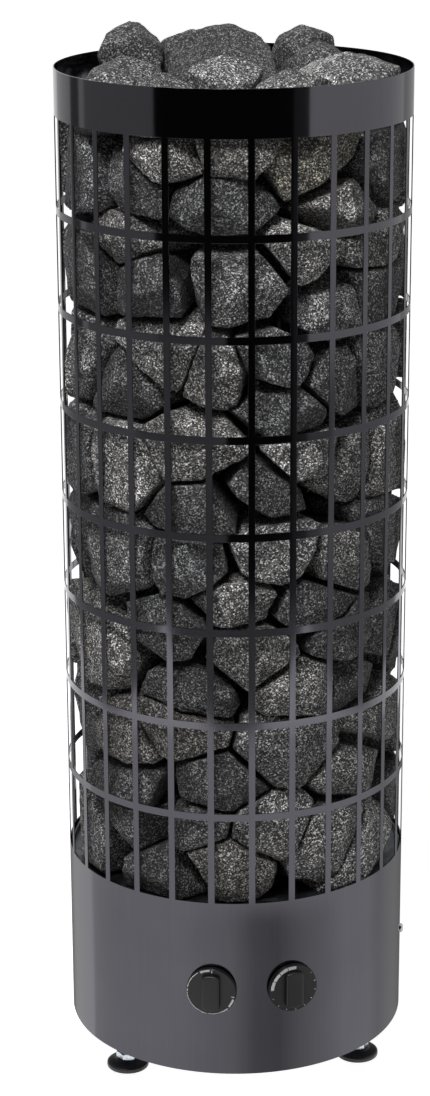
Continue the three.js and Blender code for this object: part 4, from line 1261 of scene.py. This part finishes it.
def make_scale(name, shape, place, body):
    bmesh.ops.remove_doubles(shape, verts=shape.verts, dist=PRINT_WELD * MM)
    bmesh.ops.recalc_face_normals(shape, faces=shape.faces)
    piece = new_piece(name, mesh_from(shape, name), PRINT)
    piece.data.transform(place)
    settle(piece, body, "knob_plastic")


def printed_marks(marks):
    shape = bmesh.new()
    for first, last, inner, outer in marks:
        add_arc(shape, first, last, SCALE_RADIUS - inner, SCALE_RADIUS - outer)
    return shape


def thermostat_scale():
    """A broken line that is thick at both ends, with a mark past each end."""
    return printed_marks(THERMOSTAT_MARKS)


def timer_scale():
    """Four blocks for the run time and nine numbers for the delay."""
    shape = printed_marks(TIMER_MARKS)
    for i in range(NUMERAL_COUNT):
        angle = NUMERAL_FIRST + i * NUMERAL_STEP
        add_numeral(shape, str(i + 1), angle, SCALE_RADIUS - NUMERAL_HEIGHT / 2)
    return shape


def make_dials():
    scales = {"thermostat": thermostat_scale, "timer": timer_scale}
    for control, side in DIAL_SIDES.items():
        place = wall_matrix(side * BAR_PITCH, control_level(control))
        make_dial_knob(f"{control}_grip_knob", place, f"{control}_dial", f"{control}_knob")
        make_scale(f"{control}_scale", scales[control](), place, f"{control}_dial")


# Feet


def make_pad(name, centre, body, node):
    shape = turned(rounded(PAD_SECTION, PAD_ROUND), PAD_FLATS)
    pad = new_piece(name, mesh_from(shape, name), PAD_PLASTIC)
    pad.data.transform(Matrix.Translation(centre))
    shade(pad.data)
    settle(pad, body, "pad_plastic", node)


def thread_radius(height, turn):
    """The radius of a thread of triangular section at a height and a turn."""
    phase = (height / THREAD_PITCH - turn) % 1
    return STUD_RADIUS - THREAD_DEPTH * abs(2 * phase - 1)


def stud_shape():
    """A rod that is plain up to the top of its collar, threaded above it and chamfered at both ends."""
    low = PAD_SOLE + FIT_GAP
    steps = int((STUD_TOP - low) / (THREAD_PITCH / THREAD_STEPS))
    shape = bmesh.new()
    rings = []
    for k in range(steps + 1):
        height = low + (STUD_TOP - low) * k / steps
        if k in (0, steps):
            radii = [STUD_RADIUS - STUD_CHAMFER] * STUD_FLATS
        elif height < COLLAR_TOP:
            radii = [STUD_RADIUS] * STUD_FLATS
        else:
            radii = [thread_radius(height, i / STUD_FLATS) for i in range(STUD_FLATS)]
        rings.append(add_ring(shape, radii, height))
    add_skin(shape, rings)
    shape.faces.new(rings[0][::-1])
    shape.faces.new(rings[-1])
    return shape


def make_collar():
    """A hexagon whose corners are turned off at both ends."""
    corner = COLLAR_WIDTH / math.sqrt(3)
    flat = COLLAR_WIDTH / 2 - COLLAR_CHAMFER_WIDTH
    bar = [(0, COLLAR_LOW), (corner, COLLAR_LOW), (corner, COLLAR_TOP), (0, COLLAR_TOP)]
    cone = [
        (0, COLLAR_LOW),
        (flat, COLLAR_LOW),
        (corner, COLLAR_LOW + COLLAR_CHAMFER_HEIGHT),
        (corner, COLLAR_TOP - COLLAR_CHAMFER_HEIGHT),
        (flat, COLLAR_TOP),
        (0, COLLAR_TOP),
    ]
    collar = put("collar", mesh_from(turned(bar, COLLAR_FLATS), "collar"))
    lathe = put("lathe", mesh_from(turned(cone, COLLAR_CHAMFER_FLATS), "lathe"))
    add_boolean(collar, lathe, "INTERSECT")
    apply_modifiers(collar)
    bpy.data.objects.remove(lathe)
    return collar


def make_stud(name, centre, body, node):
    stud = new_piece(name, mesh_from(stud_shape(), name), ZINC)
    collar = make_collar()
    add_boolean(stud, collar, "UNION")
    apply_modifiers(stud)
    bpy.data.objects.remove(collar)
    stud.data.transform(Matrix.Translation(centre))
    shade(stud.data, STUD_SHARP_ANGLE)
    settle(stud, body, "zinc_plate", node)


def make_feet():
    for i in range(1, FOOT_COUNT + 1):
        low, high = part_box(f"foot_stud_{i}")
        centre = Vector(((low.x + high.x) / 2, (low.y + high.y) / 2, 0))
        make_pad(f"moulded_pad_{i}", centre, f"foot_{i}", f"foot_pad_{i}")
        make_stud(f"threaded_stud_{i}", centre, f"foot_{i}", f"foot_stud_{i}")


# Screws


def screw_shape():
    """A screw with a crowned head and a round recess, its axis along Z and its seat on the wall."""
    top = FIT_GAP + SCREW_HEAD_HEIGHT
    profile = [
        (0, FIT_GAP - SCREW_LENGTH),
        (SCREW_SHANK_RADIUS, FIT_GAP - SCREW_LENGTH),
        (SCREW_SHANK_RADIUS, FIT_GAP),
        (SCREW_HEAD_RADIUS, FIT_GAP),
        (SCREW_HEAD_RADIUS, FIT_GAP + SCREW_HEAD_HEIGHT * SCREW_HEAD_STRAIGHT),
        (SCREW_HEAD_RADIUS * SCREW_CROWN_WIDTH, FIT_GAP + SCREW_HEAD_HEIGHT * SCREW_CROWN_HEIGHT),
        (SCREW_RECESS_RADIUS + SCREW_RECESS_RIM, top),
        (SCREW_RECESS_RADIUS, top),
        (SCREW_RECESS_RADIUS * SCREW_RECESS_TAPER, top - SCREW_RECESS_DEPTH),
        (0, top - SCREW_RECESS_DEPTH),
    ]
    return turned(rounded(profile, SCREW_ROUND, SCREW_ROUND_STEPS), SCREW_SIDES)


def screw_tree(sizes, screw):
    """One screw on each point, set on the wall of the shell and turned to face out."""
    tree = bpy.data.node_groups.new("shell_screws", "GeometryNodeTree")
    tree.interface.new_socket("Places", in_out="INPUT", socket_type="NodeSocketGeometry")
    given = tree_inputs(tree, sizes)
    place = add_node(tree, "ShaderNodeSeparateXYZ", add_node(tree, "GeometryNodeInputPosition"))
    level = add_node(tree, "ShaderNodeCombineXYZ", 0, 0, place.outputs["Z"])
    flat = add_node(tree, "ShaderNodeCombineXYZ", place.outputs["X"], place.outputs["Y"])
    out = add_node(tree, VECTOR_MATH, flat, operation="NORMALIZE")
    wall = add_node(tree, VECTOR_MATH, out, inputs={"Scale": given["Radius"]}, operation="SCALE")
    seat = add_node(tree, VECTOR_MATH, wall, level, operation="ADD")
    moved = add_node(tree, "GeometryNodeSetPosition", given["Places"], inputs={"Position": seat})
    facing = add_node(tree, "FunctionNodeAlignRotationToVector", inputs={"Vector": out}, axis="Z")
    source = add_node(tree, "GeometryNodeObjectInfo", screw)
    copies = add_node(tree, "GeometryNodeInstanceOnPoints", moved, inputs={
        "Instance": source.outputs["Geometry"], "Rotation": facing,
    })
    finish_tree(tree, copies, ZINC)
    return tree


def make_screws():
    screw = put("screw", mesh_from(screw_shape(), "screw"))
    places = bpy.data.meshes.new("screw_places")
    places.from_pydata([Vector(around(1, angle, SCREW_LEVEL * MM)) for angle in SCREW_ANGLES], [], [])
    sizes = {"Radius": SHELL_RADIUS * MM}
    mesh = grown("shell_screws", places, screw_tree(sizes, screw), sizes)
    bpy.data.objects.remove(screw)
    piece = new_piece("shell_screws", mesh, ZINC)
    shade(piece.data)
    settle(piece, "heater", "zinc_plate", *[f"shell_screw_{i + 1}" for i in range(len(SCREW_ANGLES))])


# Pieces that keep their solid


def dress_nodes():
    """Gives each solid the finish that the record names for it."""
    for subpart in frame["record"]["subparts"]:
        materials = frame["nodes"][subpart["node"]].data.materials
        materials.clear()
        materials.append(CARRIED_FINISHES[subpart["material_slot"]])


# Stage


def seen_rays(tree, unseen, seen):
    """A strength for rays of the camera, reflections and glass, and another for light."""
    path = add_node(tree, "ShaderNodeLightPath").outputs
    either = add_node(tree, MATH, path["Is Camera Ray"], path["Is Glossy Ray"], operation="MAXIMUM")
    any_of_them = add_node(tree, MATH, either, path["Is Transmission Ray"], operation="MAXIMUM")
    return add_node(tree, MAP_RANGE, any_of_them, 0, 1, unseen, seen).outputs[0]


def white_paper():
    """White paper: matt, and lit to plain white where no shadow falls on it."""
    material, tree, shader, _ = new_material("white_paper")
    shader.inputs["Base Color"].default_value = linear("#f4f4f4")
    shader.inputs["Roughness"].default_value = 0.9
    shader.inputs["Specular IOR Level"].default_value = 0.0
    shader.inputs["Emission Color"].default_value = linear("#ffffff")
    tree.links.new(seen_rays(tree, 0.0, PAPER_GLOW), shader.inputs["Emission Strength"])
    return material


def make_floor():
    mesh = bpy.data.meshes.new("floor")
    far = FLOOR_REACH * MM
    low = FLOOR_LEVEL * MM
    corners = [(-far, -far, low), (far, -far, low), (far, far, low), (-far, far, low)]
    mesh.from_pydata(corners, [], [(0, 1, 2, 3)])
    new_piece("floor", mesh, white_paper())


def make_screen(name, points, faces, greys):
    mesh = bpy.data.meshes.new(name)
    mesh.from_pydata(points, [], faces)
    mesh.attributes.new("grey", "FLOAT", "POINT").data.foreach_set("value", greys)
    screen = new_piece(name, mesh, PAINTED_REFLECTION_CARD)
    # Screens show in reflections only
    screen.visible_camera = False
    screen.visible_diffuse = False
    screen.visible_shadow = False
    screen.visible_transmission = False


def wall_screen(name, first, last, radius, low, level):
    """A curved card round the axis, in degrees from the camera, that paints a wall's reflection."""
    steps = max(1, round((last - first) / WALL_STEP))
    points = []
    for i in range(steps + 1):
        angle = CAMERA_AZIMUTH + first + (last - first) * i / steps
        points += [Vector(around(radius, angle, z)) * MM for z in (low, STUDIO_HEIGHT)]
    faces = [(2 * i, 2 * i + 1, 2 * i + 3, 2 * i + 2) for i in range(steps)]
    make_screen(name, points, faces, [level] * len(points))


def floor_screen(name, sides, depths, level):
    """A flat card just over the floor that paints the floor's reflection, by its limits sideways and towards the
    camera.
    """
    turn = Matrix.Rotation(math.radians(CAMERA_AZIMUTH), 3, "Z")
    places = [(sides[0], depths[0]), (sides[1], depths[0]), (sides[1], depths[1]), (sides[0], depths[1])]
    points = [turn @ Vector((side, -depth, SCREEN_LIFT)) * MM for side, depth in places]
    make_screen(name, points, [(0, 1, 2, 3)], [level] * len(points))


def painted_paper_screen():
    """A painted reflection of the paper round the heater, with painted shade in front of it, laid out so that the
    shell reflects each line of it upright.
    """
    lengths = [(0, 1.0), (SHADE_REACH, 1.0), (SHADE_END, 0.0), (PAPER_REACH, 0.0)]
    rows = len(lengths)
    points = []
    greys = []
    for angle in range(PAINTED_PAPER_GREYS[0][0], PAINTED_PAPER_GREYS[-1][0] + 1, PAPER_STEP):
        start = around(SHELL_RADIUS, CAMERA_AZIMUTH + angle, SCREEN_LIFT)
        away = around(1, CAMERA_AZIMUTH + 2 * angle)
        grey = np.interp(angle, *zip(*PAINTED_PAPER_GREYS))
        # Painted shade in front of the heater, seen only in the lower band's reflection
        kept = np.interp(angle, *zip(*PAINTED_FRONT_SHADE))
        for length, share in lengths:
            points.append(Vector(start + away * length) * MM)
            greys.append(grey * (1 - share * (1 - kept)))
    corners = [i for i in range(len(points) - rows) if (i + 1) % rows]
    faces = [(i, i + 1, i + rows + 1, i + rows) for i in corners]
    make_screen("paper_reflection", points, faces, greys)


def make_studio():
    painted_paper_screen()
    # Painted reflections of a dark room: walls, cards and floors that glow in given greys
    for i, (first, last, level) in enumerate(STUDIO_WALLS):
        wall_screen(f"studio_wall_{i}", first, last, STUDIO_RADIUS, 0, level)
    for i, (first, last, low, level) in enumerate(FRONT_CARDS):
        wall_screen(f"front_card_{i}", first, last, CARD_RADIUS, low, level)
    for name, sides, depths, level in FLOOR_REFLECTIONS:
        floor_screen(name, sides, depths, level)


def make_light():
    world = bpy.data.worlds.new("studio")
    bpy.context.scene.world = world
    world.use_nodes = True
    tree = world.node_tree
    tree.nodes.clear()
    light = add_node(tree, "ShaderNodeBackground", (1, 1, 1, 1), seen_rays(tree, WORLD_LIGHT, 1.0))
    add_node(tree, "ShaderNodeOutputWorld", light)

    lamp = bpy.data.lights.new("key_light", "AREA")
    lamp.energy = LAMP_POWER
    lamp.size = LAMP_SIZE * MM
    holder = put("key_light", lamp)
    holder.location = Vector(around(LAMP_DISTANCE, LAMP_TURN, LAMP_HEIGHT)) * MM
    aim = Vector((0, 0, LAMP_AIM * MM)) - holder.location
    holder.rotation_euler = aim.to_track_quat("-Z", "Y").to_euler()


def make_camera():
    data = bpy.data.cameras.new("camera")
    data.sensor_width = SENSOR
    data.lens = FOCAL_PIXELS * SENSOR / IMAGE_HEIGHT
    data.shift_x = SIDE_SHIFT_PIXELS / IMAGE_HEIGHT
    data.clip_end = CAMERA_CLIP
    camera = put("camera", data)
    camera.location = Vector(around(CAMERA_DISTANCE, CAMERA_AZIMUTH, CAMERA_HEIGHT)) * MM
    turn = Matrix.Rotation(math.radians(CAMERA_AZIMUTH), 4, "Z")
    tilt = Matrix.Rotation(math.radians(90 - CAMERA_PITCH), 4, "X")
    roll = Matrix.Rotation(CAMERA_ROLL, 4, "Z")
    camera.rotation_euler = (turn @ tilt @ roll).to_euler()
    bpy.context.scene.camera = camera


bpy.context.scene.view_settings.view_transform = "Standard"
make_camera()
make_light()
make_floor()
make_studio()
dress_nodes()
make_shell()
make_stones()
make_dials()
make_feet()
make_screws()
